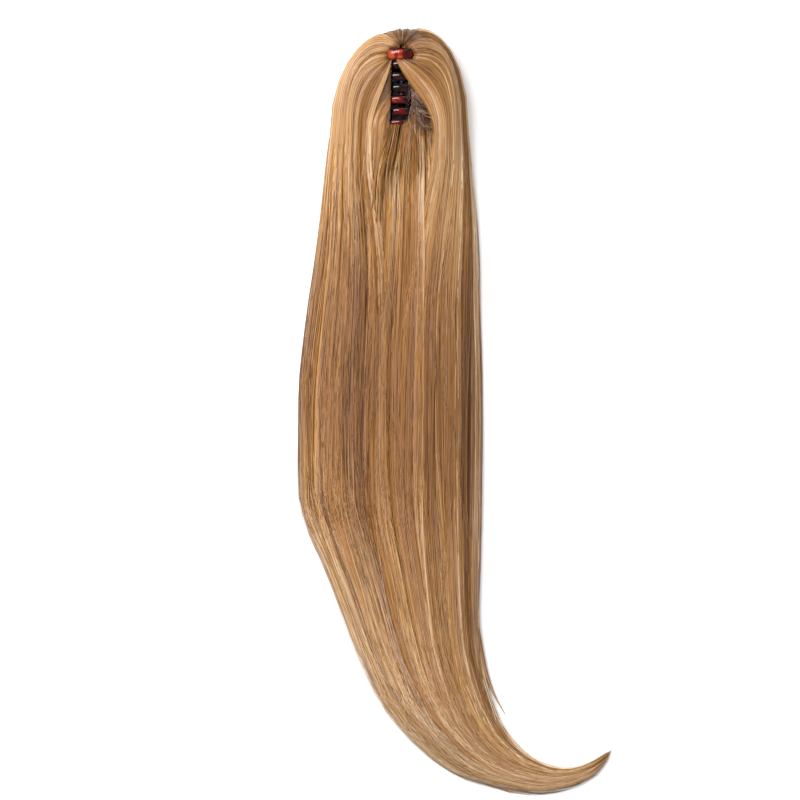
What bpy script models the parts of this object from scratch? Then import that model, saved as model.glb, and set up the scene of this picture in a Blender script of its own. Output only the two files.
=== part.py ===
"""Ponytail hairpiece: long straight hair sewn round a hinged claw clip.

The piece lies flat as it does on a table, mouth of the claw up.  +X is to the right,
+Y runs from the tip of the hair to the head end, +Z is up and the table is z = 0.
The claw's hinge runs along Y.  The right jaw carries the right half of the crown of
hair and turns about that hinge; everything else stays with the left jaw.
All sizes are in metres; the tables and the section functions work in millimetres.
"""

import math

import bmesh
import bpy
import numpy as np
from mathutils import Matrix

MM = 0.001
GAP = 0.3

# Claw: a tunnel of two curved jaws, seen along Y as an upright ellipse.
AXIS_X = -39.6
HINGE_Z = 15.0
JAW_CENTRE_Z = 28.0
JAW_HALF_WIDTH = 15.1
JAW_HALF_HEIGHT = 14.1
JAW_WALL = 2.2
TIP_WALL = 1.5
JAW_LOW_Y = 203.5
JAW_HIGH_Y = 260.8
JAW_FOOT_ANGLE = -60.0
JAW_TIP_ANGLE = 107.0
JAW_STEPS = 18
TOOTH_ROOT_Z = 31.0

# Teeth, counted from the head end.  Even ones belong to the left jaw, odd ones to the right.
TOOTH_COUNT = 7
TOOTH_PITCH = 8.42
TOOTH_WIDTH = 4.6
TOOTH_TAPER = 0.5
END_TOOTH_Y = 255.8
END_TOOTH_WIDTH = 8.0
SECOND_TOOTH_Y = 248.4

# Hinge, spring and the finger levers under it.
PIN_RADIUS = 1.2
PIN_LOW_Y = 217.0
PIN_HIGH_Y = 247.0
KNUCKLE_RADIUS = 3.0
KNUCKLE_LENGTH = 3.5
LEFT_KNUCKLES_Y = (218.0, 242.5)
RIGHT_KNUCKLES_Y = (221.8, 238.7)
SPRING_LOW_Y = 226.2
SPRING_HIGH_Y = 237.8
SPRING_RADIUS = 2.3
SPRING_WIRE = 0.4
SPRING_TURNS = 6
SPRING_LEG = 5.0
LEVER_LOW_Y = 220.0
LEVER_HIGH_Y = 244.0
LEVER_WALL = 2.2
LEVER_LINE = ((7.0, 17.6), (7.6, 13.6), (9.6, 8.8), (12.6, 4.4))

# Sewn bands of hair roots on the outer side of each jaw.
WEFT_WALL = 1.2
WEFT_FROM_ANGLE = -35.0
WEFT_TO_ANGLE = 57.0
WEFT_LOW_Y = 205.0
WEFT_HIGH_Y = 260.0

# Hair.  The crown is everything above CROWN_END_Y; the claw sits in its hollow.
CROWN_END_Y = 200.0
CAVITY_HIGH_Y = 261.5
CAVITY_SIDES = 40
MOUTH_FLOOR_Z = 27.0
SWING_OUTLINE = ((0.0, 19.0), (10.0, 14.0), (29.0, -1.2))
DOME_POWER = 2.5
GROOVE_DEPTH = 2.8
GROOVE_LIMIT = 0.15
LOCK_EDGES = (-1.0, -0.84, -0.66, -0.45, -0.22, 0.0, 0.2, 0.42, 0.62, 0.82, 1.0)
LOCK_SAMPLES = (0.0, 0.18, 0.5, 0.82)
DRIFT = 0.05
SUB_STATIONS = 2

# One row per cross-section of the crown, from the head end down:
# left_x, left_y, right_x, right_y, crest_x, crest_y, height.
CROWN_STATIONS = (
    (-40.4, 275.8, -30.0, 275.8, AXIS_X, 275.8, 9.0),
    (-43.5, 274.8, -20.9, 274.8, AXIS_X, 274.8, 20.0),
    (-56.9, 272.2, -13.0, 272.2, AXIS_X, 272.2, 33.0),
    (-66.2, 266.4, -7.9, 266.4, AXIS_X, 266.4, 42.5),
    (-74.2, 257.8, -1.4, 257.8, AXIS_X, 257.8, 46.5),
    (-79.2, 249.1, 0.7, 249.1, AXIS_X, 249.1, 47.5),
    (-83.5, 237.6, 2.9, 237.6, AXIS_X, 237.6, 47.5),
    (-87.8, 223.2, 5.8, 223.2, AXIS_X, 223.2, 46.0),
    (-90.0, 208.8, 8.6, 208.8, AXIS_X, 208.8, 43.0),
    (-91.1, CROWN_END_Y, 9.7, CROWN_END_Y, AXIS_X, CROWN_END_Y, 41.0),
)

# One row per cross-section of the tail, in the same columns; past the bend a section
# no longer runs along X.
TAIL_STATIONS = (
    (-91.1, CROWN_END_Y - GAP, 9.7, CROWN_END_Y - GAP, AXIS_X, CROWN_END_Y - GAP, 41.0),
    (-93.6, 180.0, 11.5, 180.0, -40.5, 180.0, 34.0),
    (-95.8, 158.4, 13.0, 158.4, -41.5, 158.4, 28.5),
    (-97.9, 136.8, 15.1, 136.8, -42.0, 136.8, 25.5),
    (-101.5, 108.0, 16.6, 108.0, -43.0, 108.0, 23.5),
    (-105.8, 79.2, 16.6, 79.2, -44.5, 79.2, 22.5),
    (-109.4, 50.4, 17.3, 50.4, -46.0, 50.4, 22.0),
    (-112.3, 21.6, 18.0, 21.6, -47.0, 21.6, 21.5),
    (-113.0, -7.2, 18.0, -7.2, -47.5, -7.2, 21.0),
    (-113.0, -36.0, 18.0, -36.0, -47.5, -36.0, 21.0),
    (-112.3, -64.8, 17.6, -64.8, -47.0, -64.8, 20.5),
    (-106.6, -86.4, 17.3, -86.4, -44.5, -86.4, 20.0),
    (-97.2, -108.0, 16.9, -108.0, -40.0, -108.0, 19.5),
    (-86.4, -133.9, 15.8, -136.8, -35.0, -135.3, 19.0),
    (-78.5, -158.4, 15.8, -156.2, -31.0, -157.3, 18.5),
    (-69.1, -182.2, 18.0, -174.2, -25.5, -178.2, 18.0),
    (-51.8, -215.3, 20.2, -201.6, -15.8, -208.5, 17.0),
    (-26.6, -244.1, 29.5, -226.1, 1.4, -235.1, 15.5),
    (-2.2, -261.4, 43.2, -243.4, 20.5, -252.4, 13.5),
    (23.0, -270.0, 56.9, -253.4, 40.0, -261.7, 11.0),
    (47.5, -275.0, 69.1, -257.8, 58.3, -266.4, 8.5),
    (66.2, -275.4, 79.2, -259.5, 72.7, -267.0, 7.0),
    (84.0, -270.0, 91.0, -257.5, 87.5, -263.7, 5.5),
    (98.8, -261.0, 102.7, -251.8, 100.8, -256.4, 3.5),
    (112.4, -246.6, 113.0, -244.6, 112.7, -245.6, 1.2),
)

# Mouth of the crown seen from above (x, y): the hair parts in a V over the claw.
MOUTH_OUTLINE = (
    (-49.0, 260.6),
    (-48.6, 250.5),
    (-46.6, 248.4),
    (-51.0, 228.0),
    (-54.6, 217.0),
    (-52.6, 207.0),
    (-51.6, CROWN_END_Y - 1.0),
    (-15.4, CROWN_END_Y - 1.0),
    (-21.2, 214.0),
    (-30.4, 236.0),
    (-39.0, 249.5),
    (-29.5, 252.0),
    (-29.5, 260.6),
)

# Slope under the claw's lower end, where the middle hair comes up out of its roots.
ROOT_SLOPE_LEFT_X = -51.5
ROOT_SLOPE_RIGHT_X = -16.5
ROOT_SLOPE_LENGTH = 17.0
ROOT_SLOPE_TOP_Z = 38.0

# Loose locks fused to the tail: name, path in plan (x, y), widest width, depth.
LOOSE_LOCKS = (
    ("inner_stray", ((9.0, -120.0), (14.0, -155.0), (19.5, -190.0), (25.0, -207.0), (36.0, -220.5)), 7.0, 6.0),
    ("lower_tip", ((30.0, -262.0), (56.0, -272.4), (78.0, -273.6), (97.5, -271.0)), 7.0, 6.0),
    ("upper_tip", ((60.0, -262.0), (80.0, -260.5), (95.0, -255.5), (106.5, -248.2)), 6.0, 5.5),
    ("outer_bend", ((-92.0, -100.0), (-83.0, -135.0), (-73.0, -166.0), (-60.5, -196.0)), 9.0, 9.0),
    ("lower_bend", ((-42.0, -215.0), (-25.0, -239.0), (-5.0, -256.5), (23.0, -268.5)), 8.0, 8.0),
)
LOCK_STATIONS = 12
LOCK_SIDES = 8

COLOURS = {
    "claw": ("4A0D0A", 0.16, 0.0),
    "steel": ("B9BCC0", 0.28, 1.0),
    "weft": ("3A2823", 0.85, 0.0),
    "hair": ("B28A5E", 0.42, 0.0),
}


def linear(hex_colour):
    """Turn an sRGB hex colour into linear red, green, blue, alpha."""
    values = [int(hex_colour[i : i + 2], 16) / 255 for i in (0, 2, 4)]
    return [v / 12.92 if v <= 0.04045 else ((v + 0.055) / 1.055) ** 2.4 for v in values] + [1.0]


def make_material(name):
    """A Principled material from the colour table."""
    colour, roughness, metallic = COLOURS[name]
    material = bpy.data.materials.new(name)
    material.use_nodes = True
    shader = material.node_tree.nodes["Principled BSDF"]
    shader.inputs["Base Color"].default_value = linear(colour)
    shader.inputs["Roughness"].default_value = roughness
    shader.inputs["Metallic"].default_value = metallic
    material.diffuse_color = linear(colour)
    return material


def clear_scene():
    """Remove what the opened file already holds."""
    for obj in list(bpy.data.objects):
        bpy.data.objects.remove(obj, do_unlink=True)


def make_collection(name):
    """A new collection under the scene."""
    collection = bpy.data.collections.new(name)
    bpy.context.scene.collection.children.link(collection)
    return collection


def add_part(name, mesh, material):
    """Put a mesh into the parts collection as a finished sub-part."""
    part = bpy.data.objects.new(name, mesh)
    mesh.materials.clear()
    mesh.materials.append(material)
    mesh.shade_smooth()
    mesh.set_sharp_from_angle(angle=math.radians(35))
    PARTS.objects.link(part)
    return part


def add_cutter(name, mesh):
    """Put a mesh into the cutters collection, kept out of the model."""
    cutter = bpy.data.objects.new(name, mesh)
    cutter.hide_render = True
    cutter.display_type = "WIRE"
    CUTTERS.objects.link(cutter)
    return cutter


def combine(part, tool, operation):
    """Cut the tool out of the part, or fuse it on, with an exact Boolean."""
    modifier = part.modifiers.new(f"{operation.lower()} {tool.name}", "BOOLEAN")
    modifier.operation = operation
    modifier.solver = "EXACT"
    modifier.object = tool


def loft_mesh(name, rings):
    """Skin through rings of equal count (stations x points x 3, mm), with flat end caps."""
    rings = np.asarray(rings) * MM
    stations, points = rings.shape[:2]
    index = np.arange(stations * points).reshape(stations, points)
    after = np.roll(index, -1, axis=1)
    sides = np.stack([index[:-1], after[:-1], after[1:], index[1:]], axis=-1).reshape(-1, 4)
    faces = sides.tolist() + [index[0][::-1].tolist(), index[-1].tolist()]
    mesh = bpy.data.meshes.new(name)
    mesh.from_pydata(rings.reshape(-1, 3).tolist(), [], faces)
    work = bmesh.new()
    work.from_mesh(mesh)
    bmesh.ops.recalc_face_normals(work, faces=work.faces)
    work.to_mesh(mesh)
    work.free()
    return mesh


def outline_mesh(name, outline, low, high, plane):
    """Extrude a flat outline (mm) between two heights along the third axis of its plane.

    Plane XZ extrudes along Y, plane YZ along X and plane XY along Z.
    """
    curve = bpy.data.curves.new(name, "CURVE")
    curve.dimensions = "2D"
    curve.fill_mode = "BOTH"
    curve.extrude = (high - low) / 2 * MM
    spline = curve.splines.new("POLY")
    spline.points.add(len(outline) - 1)
    for point, (u, v) in zip(spline.points, outline):
        point.co = (u * MM, v * MM, 0, 1)
    spline.use_cyclic_u = True
    guide = bpy.data.objects.new(name, curve)
    CUTTERS.objects.link(guide)
    middle = (high + low) / 2 * MM
    columns = {
        "XY": ((1, 0, 0), (0, 1, 0), (0, 0, 1)),
        "XZ": ((1, 0, 0), (0, 0, 1), (0, -1, 0)),
        "YZ": ((0, 1, 0), (0, 0, 1), (1, 0, 0)),
    }[plane]
    turn = Matrix(columns).transposed().to_4x4()
    shift = Matrix.Translation([abs(c) * middle for c in columns[2]])
    mesh = mesh_of(guide)
    mesh.transform(shift @ turn)
    return mesh


def mesh_of(guide):
    """Make a curve object a mesh with its caps welded on, and remove the curve."""
    bpy.context.view_layer.update()
    evaluated = guide.evaluated_get(bpy.context.evaluated_depsgraph_get())
    mesh = bpy.data.meshes.new_from_object(evaluated)
    mesh.name = guide.name
    bpy.data.objects.remove(guide, do_unlink=True)
    work = bmesh.new()
    work.from_mesh(mesh)
    bmesh.ops.remove_doubles(work, verts=work.verts, dist=0.00001)
    bmesh.ops.recalc_face_normals(work, faces=work.faces)
    work.to_mesh(mesh)
    work.free()
    return mesh


def rod_mesh(name, radius, low_y, high_y, sides=20):
    """A closed cylinder along Y on the hinge axis."""
    work = bmesh.new()
    bmesh.ops.create_cone(
        work,
        cap_ends=True,
        segments=sides,
        radius1=radius * MM,
        radius2=radius * MM,
        depth=(high_y - low_y) * MM,
        matrix=Matrix.Rotation(math.radians(90), 4, "X"),
    )
    mesh = bpy.data.meshes.new(name)
    work.to_mesh(mesh)
    work.free()
    mesh.transform(Matrix.Translation((AXIS_X * MM, (low_y + high_y) / 2 * MM, HINGE_Z * MM)))
    return mesh


def wire_mesh(name, path, radius):
    """A round wire along a path of points in millimetres."""
    curve = bpy.data.curves.new(name, "CURVE")
    curve.dimensions = "3D"
    curve.bevel_depth = radius * MM
    curve.bevel_resolution = 2
    curve.use_fill_caps = True
    spline = curve.splines.new("POLY")
    spline.points.add(len(path) - 1)
    for point, place in zip(spline.points, path):
        point.co = (*(c * MM for c in place), 1)
    guide = bpy.data.objects.new(name, curve)
    CUTTERS.objects.link(guide)
    return mesh_of(guide)


def arc(side, from_angle, to_angle, offset, steps):
    """Points along the jaw's ellipse, grown by an offset (a number, or a function of angle)."""
    points = []
    for step in range(steps + 1):
        angle = from_angle + (to_angle - from_angle) * step / steps
        grow = offset(angle) if callable(offset) else offset
        x = AXIS_X + side * (JAW_HALF_WIDTH + grow) * math.cos(math.radians(angle))
        z = JAW_CENTRE_Z + (JAW_HALF_HEIGHT + grow) * math.sin(math.radians(angle))
        points.append((x, z))
    return points


def inner_offset(angle):
    """How far the jaw's inner face lies inside its outer one: thinner towards the tooth tips."""
    share = min(max(angle / JAW_TIP_ANGLE, 0.0), 1.0)
    return -(JAW_WALL + (TIP_WALL - JAW_WALL) * share)


def band_around(line, wall):
    """Outline of a plate of even thickness along an open line of (x, z) points."""
    line = np.array(line)
    along = np.gradient(line, axis=0)
    along /= np.linalg.norm(along, axis=1)[:, None]
    across = np.stack([-along[:, 1], along[:, 0]], axis=1) * wall / 2
    return [tuple(p) for p in line + across] + [tuple(p) for p in (line - across)[::-1]]


def tooth_spans(first):
    """Low and high Y of every second tooth, starting with the given one, from the head end."""
    spans = []
    for number in range(first, TOOTH_COUNT, 2):
        if number == 0:
            spans.append((END_TOOTH_Y - END_TOOTH_WIDTH / 2, END_TOOTH_Y + END_TOOTH_WIDTH / 2))
            continue
        middle = SECOND_TOOTH_Y - (number - 1) * TOOTH_PITCH
        spans.append((middle - TOOTH_WIDTH / 2, middle + TOOTH_WIDTH / 2))
    return spans


def tooth_gaps(first):
    """The stretches of Y between and beside the teeth of one jaw."""
    low_ends = [JAW_LOW_Y - 5] + [high for low, high in reversed(tooth_spans(first))]
    high_ends = [low for low, high in reversed(tooth_spans(first))] + [JAW_HIGH_Y + 5]
    return [(low, high) for low, high in zip(low_ends, high_ends) if high - low > 1.0]


def gap_outline(low, high):
    """A gap between two teeth seen from the side: round at its root, wider at the top."""
    radius = min(2.0, (high - low) / 3)
    root_low = low + TOOTH_TAPER
    root_high = high - TOOTH_TAPER
    outline = []
    for centre, first_angle in ((root_low + radius, 180), (root_high - radius, 270)):
        for step in range(4):
            turn = math.radians(first_angle + 30 * step)
            outline.append((centre + radius * math.cos(turn), TOOTH_ROOT_Z + radius * (1 + math.sin(turn))))
    top = JAW_CENTRE_Z + JAW_HALF_HEIGHT + 3
    return outline + [(high, top), (low, top)]


def build_jaw(name, side, first_tooth, knuckles, material):
    """One jaw: curved shell, teeth, two hinge knuckles and a finger lever, fused into one piece."""
    outer = arc(side, JAW_FOOT_ANGLE, JAW_TIP_ANGLE, 0.0, JAW_STEPS)
    inner = arc(side, JAW_FOOT_ANGLE, JAW_TIP_ANGLE, inner_offset, JAW_STEPS)
    shell = outline_mesh(name, outer + inner[::-1], JAW_LOW_Y, JAW_HIGH_Y, "XZ")
    jaw = add_part(name, shell, material)
    for number, (low, high) in enumerate(tooth_gaps(first_tooth)):
        mesh = outline_mesh(f"{name}_gap_{number}", gap_outline(low, high), AXIS_X - 25, AXIS_X + 25, "YZ")
        combine(jaw, add_cutter(f"{name}_gap_{number}", mesh), "DIFFERENCE")
    lever_line = [(AXIS_X + side * x, z) for x, z in LEVER_LINE]
    lever = outline_mesh(f"{name}_lever", band_around(lever_line, LEVER_WALL), LEVER_LOW_Y, LEVER_HIGH_Y, "XZ")
    combine(jaw, add_cutter(f"{name}_lever", lever), "UNION")
    arm = [
        (AXIS_X, HINGE_Z - 2.0),
        (AXIS_X, HINGE_Z + 2.0),
        (AXIS_X + side * 7.6, HINGE_Z + 3.4),
        (AXIS_X + side * 7.6, HINGE_Z - 0.4),
    ]
    for number, low in enumerate(knuckles):
        knuckle = rod_mesh(f"{name}_knuckle_{number}", KNUCKLE_RADIUS, low, low + KNUCKLE_LENGTH)
        combine(jaw, add_cutter(f"{name}_knuckle_{number}", knuckle), "UNION")
        plate = outline_mesh(f"{name}_arm_{number}", arm, low + 0.2, low + KNUCKLE_LENGTH - 0.2, "XZ")
        combine(jaw, add_cutter(f"{name}_arm_{number}", plate), "UNION")
    bore = rod_mesh(f"{name}_bore", PIN_RADIUS + GAP, PIN_LOW_Y - 5, PIN_HIGH_Y + 5)
    combine(jaw, add_cutter(f"{name}_bore", bore), "DIFFERENCE")
    return jaw


def build_pin(material):
    """Steel pin through all four knuckles."""
    return add_part("hinge_pin", rod_mesh("hinge_pin", PIN_RADIUS, PIN_LOW_Y, PIN_HIGH_Y, 16), material)


def build_spring(material):
    """Torsion spring round the pin, with its one free leg lying along the left lever."""
    steps = SPRING_TURNS * 10
    path = []
    for step in range(steps + 1):
        turn = 2 * math.pi * step / 10
        y = SPRING_LOW_Y + (SPRING_HIGH_Y - SPRING_LOW_Y) * step / steps
        path.append((AXIS_X - SPRING_RADIUS * math.cos(turn), y, HINGE_Z - SPRING_RADIUS * math.sin(turn)))
    leg = path[0]
    path.insert(0, (leg[0] - 0.6, leg[1] - 0.1, leg[2] + 0.5 * SPRING_LEG))
    return add_part("torsion_spring", wire_mesh("torsion_spring", path, SPRING_WIRE), material)


def build_weft(name, side, material):
    """Sewn band of roots that follows the outer side of one jaw."""
    low_wall = arc(side, WEFT_FROM_ANGLE, WEFT_TO_ANGLE, GAP, 8)
    high_wall = arc(side, WEFT_FROM_ANGLE, WEFT_TO_ANGLE, GAP + WEFT_WALL, 8)
    return add_part(name, outline_mesh(name, high_wall + low_wall[::-1], WEFT_LOW_Y, WEFT_HIGH_Y, "XZ"), material)


def smooth_rows(rows, steps):
    """Rows of a table with more rows between them, on a smooth curve through all of them.

    Between two rows each column follows the Catmull-Rom cubic of its four nearest rows.
    """
    rows = np.array(rows, float)
    padded = np.vstack([2 * rows[0] - rows[1], rows, 2 * rows[-1] - rows[-2]])
    t = np.linspace(0, 1, steps, endpoint=False)[None, :, None]
    a, b, c, d = (padded[k : len(rows) - 1 + k, None, :] for k in range(4))
    curve = 0.5 * (2 * b + (c - a) * t + (2 * a - 5 * b + 4 * c - d) * t**2 + (3 * b - a - 3 * c + d) * t**3)
    return np.vstack([curve.reshape(-1, rows.shape[1]), rows[-1:]])


def lock_samples(low, high):
    """Places across the hair, u from -1 (left) to 1 (right), with how deep in its lock each lies.

    Returns the edge pairs' places as rows of (edge before, edge after, share between them).
    """
    rows = []
    for before, after in zip(LOCK_EDGES[:-1], LOCK_EDGES[1:]):
        if before >= low - 1e-9 and after <= high + 1e-9:
            rows += [(before, after, share) for share in LOCK_SAMPLES]
    rows.append((rows[-1][0], rows[-1][1], 1.0))
    return np.array(rows)


def drifted(edge, y):
    """A lock's edge wanders a little from side to side down the hair, except at its outline and crest."""
    room = 4 * np.abs(edge) * (1 - np.abs(edge))
    return edge + DRIFT * room * np.sin(y / 47.0 + edge * 9.0)


def hair_ring(row, low, high):
    """Top of one cross-section: a flattened dome, grooved between its locks.

    The height is H (1 - |u|^p)^(1/p) less a groove that is zero in the middle of each lock.
    """
    left_x, left_y, right_x, right_y, crest_x, crest_y, height = row
    before, after, share = lock_samples(low, high).T
    before = drifted(before, crest_y)
    after = drifted(after, crest_y)
    u = before + (after - before) * share
    side_x = np.where(u < 0, left_x, right_x)
    side_y = np.where(u < 0, left_y, right_y)
    x = crest_x + (side_x - crest_x) * np.abs(u)
    y = crest_y + (side_y - crest_y) * np.abs(u)
    dome = (1 - np.clip(np.abs(u), 0, 1) ** DOME_POWER) ** (1 / DOME_POWER)
    groove = min(GROOVE_DEPTH / height, GROOVE_LIMIT) * (1 - np.sin(np.pi * share) ** 0.6)
    z = height * dome * (1 - groove)
    return np.stack([x, y, z], axis=1)


def crown_rings(side):
    """Closed cross-sections of one half of the crown, with a flat wall at the claw's axis."""
    rings = []
    for row in smooth_rows(CROWN_STATIONS, SUB_STATIONS):
        ring = hair_ring(row, min(side, 0), max(side, 0))
        reach = max(np.abs(ring[:, 0] - AXIS_X).max(), 0.1)
        ring[:, 0] += side * GAP / 2 * (1 - np.abs(ring[:, 0] - AXIS_X) / reach)
        crest = ring[0] if side > 0 else ring[-1]
        foot = np.array([[crest[0], crest[1], 0.0]])
        ring = np.vstack([foot, ring]) if side > 0 else np.vstack([ring, foot])
        rings.append(ring)
    return rings


def build_crown(name, side, material):
    """Half of the crown of hair, hollow for the claw, open at the mouth and under the hinge."""
    crown = add_part(name, loft_mesh(name, crown_rings(side)), material)
    for cutter in (CAVITY, MOUTH, SWING):
        combine(crown, cutter, "DIFFERENCE")
    return crown


def make_shared_cutters():
    """The claw's hollow, the V of the mouth, the room that the levers swing in, the root slope."""
    ellipse = arc(1, 0, 360, GAP + WEFT_WALL + GAP, CAVITY_SIDES)[:-1]
    cavity = outline_mesh("claw_hollow", ellipse, CROWN_END_Y - 2, CAVITY_HIGH_Y, "XZ")
    mouth = outline_mesh("mouth_v", MOUTH_OUTLINE, MOUTH_FLOOR_Z, 60.0, "XY")
    room = [(AXIS_X + x, z) for x, z in SWING_OUTLINE] + [(AXIS_X - x, z) for x, z in SWING_OUTLINE[:0:-1]]
    swing = outline_mesh("lever_room", room, CROWN_END_Y - 2, 280.0, "XZ")
    top_y = CROWN_END_Y + 1
    low_y = top_y - ROOT_SLOPE_LENGTH
    profile = [(top_y, MOUTH_FLOOR_Z), (top_y, 60.0), (low_y, 60.0), (low_y, ROOT_SLOPE_TOP_Z)]
    slope = outline_mesh("root_slope", profile, ROOT_SLOPE_LEFT_X, ROOT_SLOPE_RIGHT_X, "YZ")
    return [add_cutter(m.name, m) for m in (cavity, mouth, swing, slope)]


def lock_rings(path, width, depth):
    """Cross-sections of a loose lock: flattened ellipses on the table that taper to both ends."""
    path = smooth_rows(path, LOCK_STATIONS // (len(path) - 1))
    along = np.gradient(path, axis=0)
    along /= np.linalg.norm(along, axis=1)[:, None]
    across = np.stack([-along[:, 1], along[:, 0]], axis=1)
    share = np.linspace(0, 1, len(path))
    size = np.minimum(0.35 + 2.5 * share, 1.0) * np.minimum(1.0, 0.12 + 1.5 * (1 - share))
    turn = 2 * np.pi * np.arange(LOCK_SIDES) / LOCK_SIDES
    side_step = np.cos(turn)[None, :, None] * across[:, None, :] * (size * width / 2)[:, None, None]
    plan = path[:, None, :] + side_step
    z = (1 + np.sin(turn))[None, :] * (size * depth / 2)[:, None] + 0.05
    return np.concatenate([plan, z[:, :, None]], axis=2)


def build_tail(material):
    """The long tail: grooved body with loose locks fused on, sloped under the claw."""
    rings = [hair_ring(row, -1, 1) for row in smooth_rows(TAIL_STATIONS, SUB_STATIONS)]
    tail = add_part("hair_tail", loft_mesh("hair_tail", rings), material)
    combine(tail, ROOT_SLOPE, "DIFFERENCE")
    for name, path, width, depth in LOOSE_LOCKS:
        lock = add_cutter(f"lock_{name}", loft_mesh(f"lock_{name}", lock_rings(path, width, depth)))
        combine(tail, lock, "UNION")
    return tail


clear_scene()
PARTS = make_collection("ponytail_hairpiece")
CUTTERS = make_collection("cutters")
CAVITY, MOUTH, SWING, ROOT_SLOPE = make_shared_cutters()
CLAW = make_material("claw")
STEEL = make_material("steel")
WEFT = make_material("weft")
HAIR = make_material("hair")
build_jaw("jaw_left", -1, 0, LEFT_KNUCKLES_Y, CLAW)
build_jaw("jaw_right", 1, 1, RIGHT_KNUCKLES_Y, CLAW)
build_pin(STEEL)
build_spring(STEEL)
build_weft("weft_left", -1, WEFT)
build_weft("weft_right", 1, WEFT)
build_crown("hair_crown_left", -1, HAIR)
build_crown("hair_crown_right", 1, HAIR)
build_tail(HAIR)
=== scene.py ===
"""Looks of a claw-clip ponytail hairpiece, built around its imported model.

Hair is drawn as thousands of fine strands over closed under-layers.  Both come from the
same two surfaces: the crown, where strands fan out from the head end of the claw, and the
tail, where they run side by side between two outlines.  Lengths in the tables are in
millimetres in the model's own frame, and are turned to metres when a mesh is made.
"""

import math

import bpy
import numpy as np
from mathutils import Matrix, Vector


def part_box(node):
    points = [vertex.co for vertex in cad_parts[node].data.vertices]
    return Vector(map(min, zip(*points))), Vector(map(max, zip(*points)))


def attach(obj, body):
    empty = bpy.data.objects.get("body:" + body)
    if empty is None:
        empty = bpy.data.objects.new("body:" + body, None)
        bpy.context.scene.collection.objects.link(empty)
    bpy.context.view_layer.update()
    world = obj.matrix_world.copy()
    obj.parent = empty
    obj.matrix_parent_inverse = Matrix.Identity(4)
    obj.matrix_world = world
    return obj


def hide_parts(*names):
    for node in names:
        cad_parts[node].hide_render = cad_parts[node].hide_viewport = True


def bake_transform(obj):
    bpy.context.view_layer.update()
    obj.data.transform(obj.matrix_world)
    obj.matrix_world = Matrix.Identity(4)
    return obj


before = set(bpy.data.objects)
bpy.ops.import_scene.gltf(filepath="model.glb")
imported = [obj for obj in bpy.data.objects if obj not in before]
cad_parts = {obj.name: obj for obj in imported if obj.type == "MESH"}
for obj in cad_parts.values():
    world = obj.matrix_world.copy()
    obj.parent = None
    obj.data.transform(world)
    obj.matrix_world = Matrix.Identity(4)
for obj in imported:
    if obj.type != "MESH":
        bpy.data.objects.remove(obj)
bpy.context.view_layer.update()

bl_info = {
    "name": "Ponytail Hairpiece",
    "version": (1, 0, 0),
    "blender": (4, 5, 0),
    "location": "3D Viewport > Sidebar > Hairpiece",
    "description": "Dresses a claw-clip ponytail with hair strands, claw plastic and a plain studio",
    "category": "Object",
}

MM = 0.001

# The claw's hinge runs along Y at this x, as the pin does, and the crown of hair ends at CROWN_END_Y.
AXIS_X = sum(corner[0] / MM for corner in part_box("hinge_pin")) / 2
CROWN_END_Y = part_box("hair_crown_left")[0][1] / MM

# Power of the curve across a section of hair, height of the lowest strands over the floor, and
# the least height that a section keeps when depth shrinks it.
DOME_POWER = 2.5
FLOOR_CLEARANCE = 0.25
LEAST_HEIGHT = 0.6

# One row per cross-section of the crown, from the head end down: y, height.
CROWN_HEIGHTS = (
    (276.4, 2.0),
    (275.8, 9.0),
    (274.8, 20.0),
    (272.2, 33.0),
    (266.4, 42.0),
    (257.8, 46.0),
    (249.1, 47.0),
    (237.6, 47.0),
    (223.2, 45.5),
    (208.8, 42.8),
    (CROWN_END_Y, 41.0),
)

# One row per cross-section of the tail, from the crown to the tip of the hair:
# left_x, left_y, right_x, right_y, crest_x, crest_y, height.
TAIL_STATIONS = (
    (-91.1, CROWN_END_Y, 9.7, CROWN_END_Y, AXIS_X, CROWN_END_Y, 41.0),
    (-93.6, 180.0, 11.5, 180.0, -40.5, 180.0, 34.0),
    (-95.8, 158.4, 13.0, 158.4, -41.5, 158.4, 28.5),
    (-97.9, 136.8, 15.1, 136.8, -42.0, 136.8, 25.5),
    (-101.5, 108.0, 16.6, 108.0, -43.0, 108.0, 23.5),
    (-105.8, 79.2, 16.6, 79.2, -44.5, 79.2, 22.5),
    (-109.4, 50.4, 17.3, 50.4, -46.0, 50.4, 22.0),
    (-112.3, 21.6, 18.0, 21.6, -47.0, 21.6, 21.5),
    (-113.0, -7.2, 18.0, -7.2, -47.5, -7.2, 21.0),
    (-113.0, -36.0, 18.0, -36.0, -47.5, -36.0, 21.0),
    (-112.3, -64.8, 17.6, -64.8, -47.0, -64.8, 20.5),
    (-106.6, -86.4, 17.3, -86.4, -44.5, -86.4, 20.0),
    (-97.2, -108.0, 16.9, -108.0, -40.0, -108.0, 19.5),
    (-86.4, -133.9, 15.8, -136.8, -35.0, -135.3, 19.0),
    (-77.9, -158.4, 15.8, -156.2, -31.0, -157.3, 18.5),
    (-68.4, -182.2, 17.6, -176.2, -25.5, -179.2, 18.0),
    (-51.8, -215.3, 20.2, -201.6, -15.8, -208.5, 17.0),
    (-26.6, -244.1, 29.5, -226.1, 1.4, -235.1, 15.5),
    (-2.2, -261.4, 43.2, -243.4, 20.5, -252.4, 13.5),
    (23.0, -270.0, 56.9, -253.4, 40.0, -261.7, 11.0),
    (47.5, -275.0, 69.1, -257.8, 58.3, -266.4, 8.5),
    (66.2, -275.4, 79.2, -259.5, 72.7, -267.0, 7.0),
    (85.5, -271.0, 91.0, -257.5, 88.2, -264.2, 5.5),
    (101.0, -263.0, 103.2, -251.5, 102.1, -257.2, 3.8),
    (111.6, -250.6, 113.2, -244.6, 112.5, -247.5, 1.6),
)
LAST = len(TAIL_STATIONS) - 1

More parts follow.
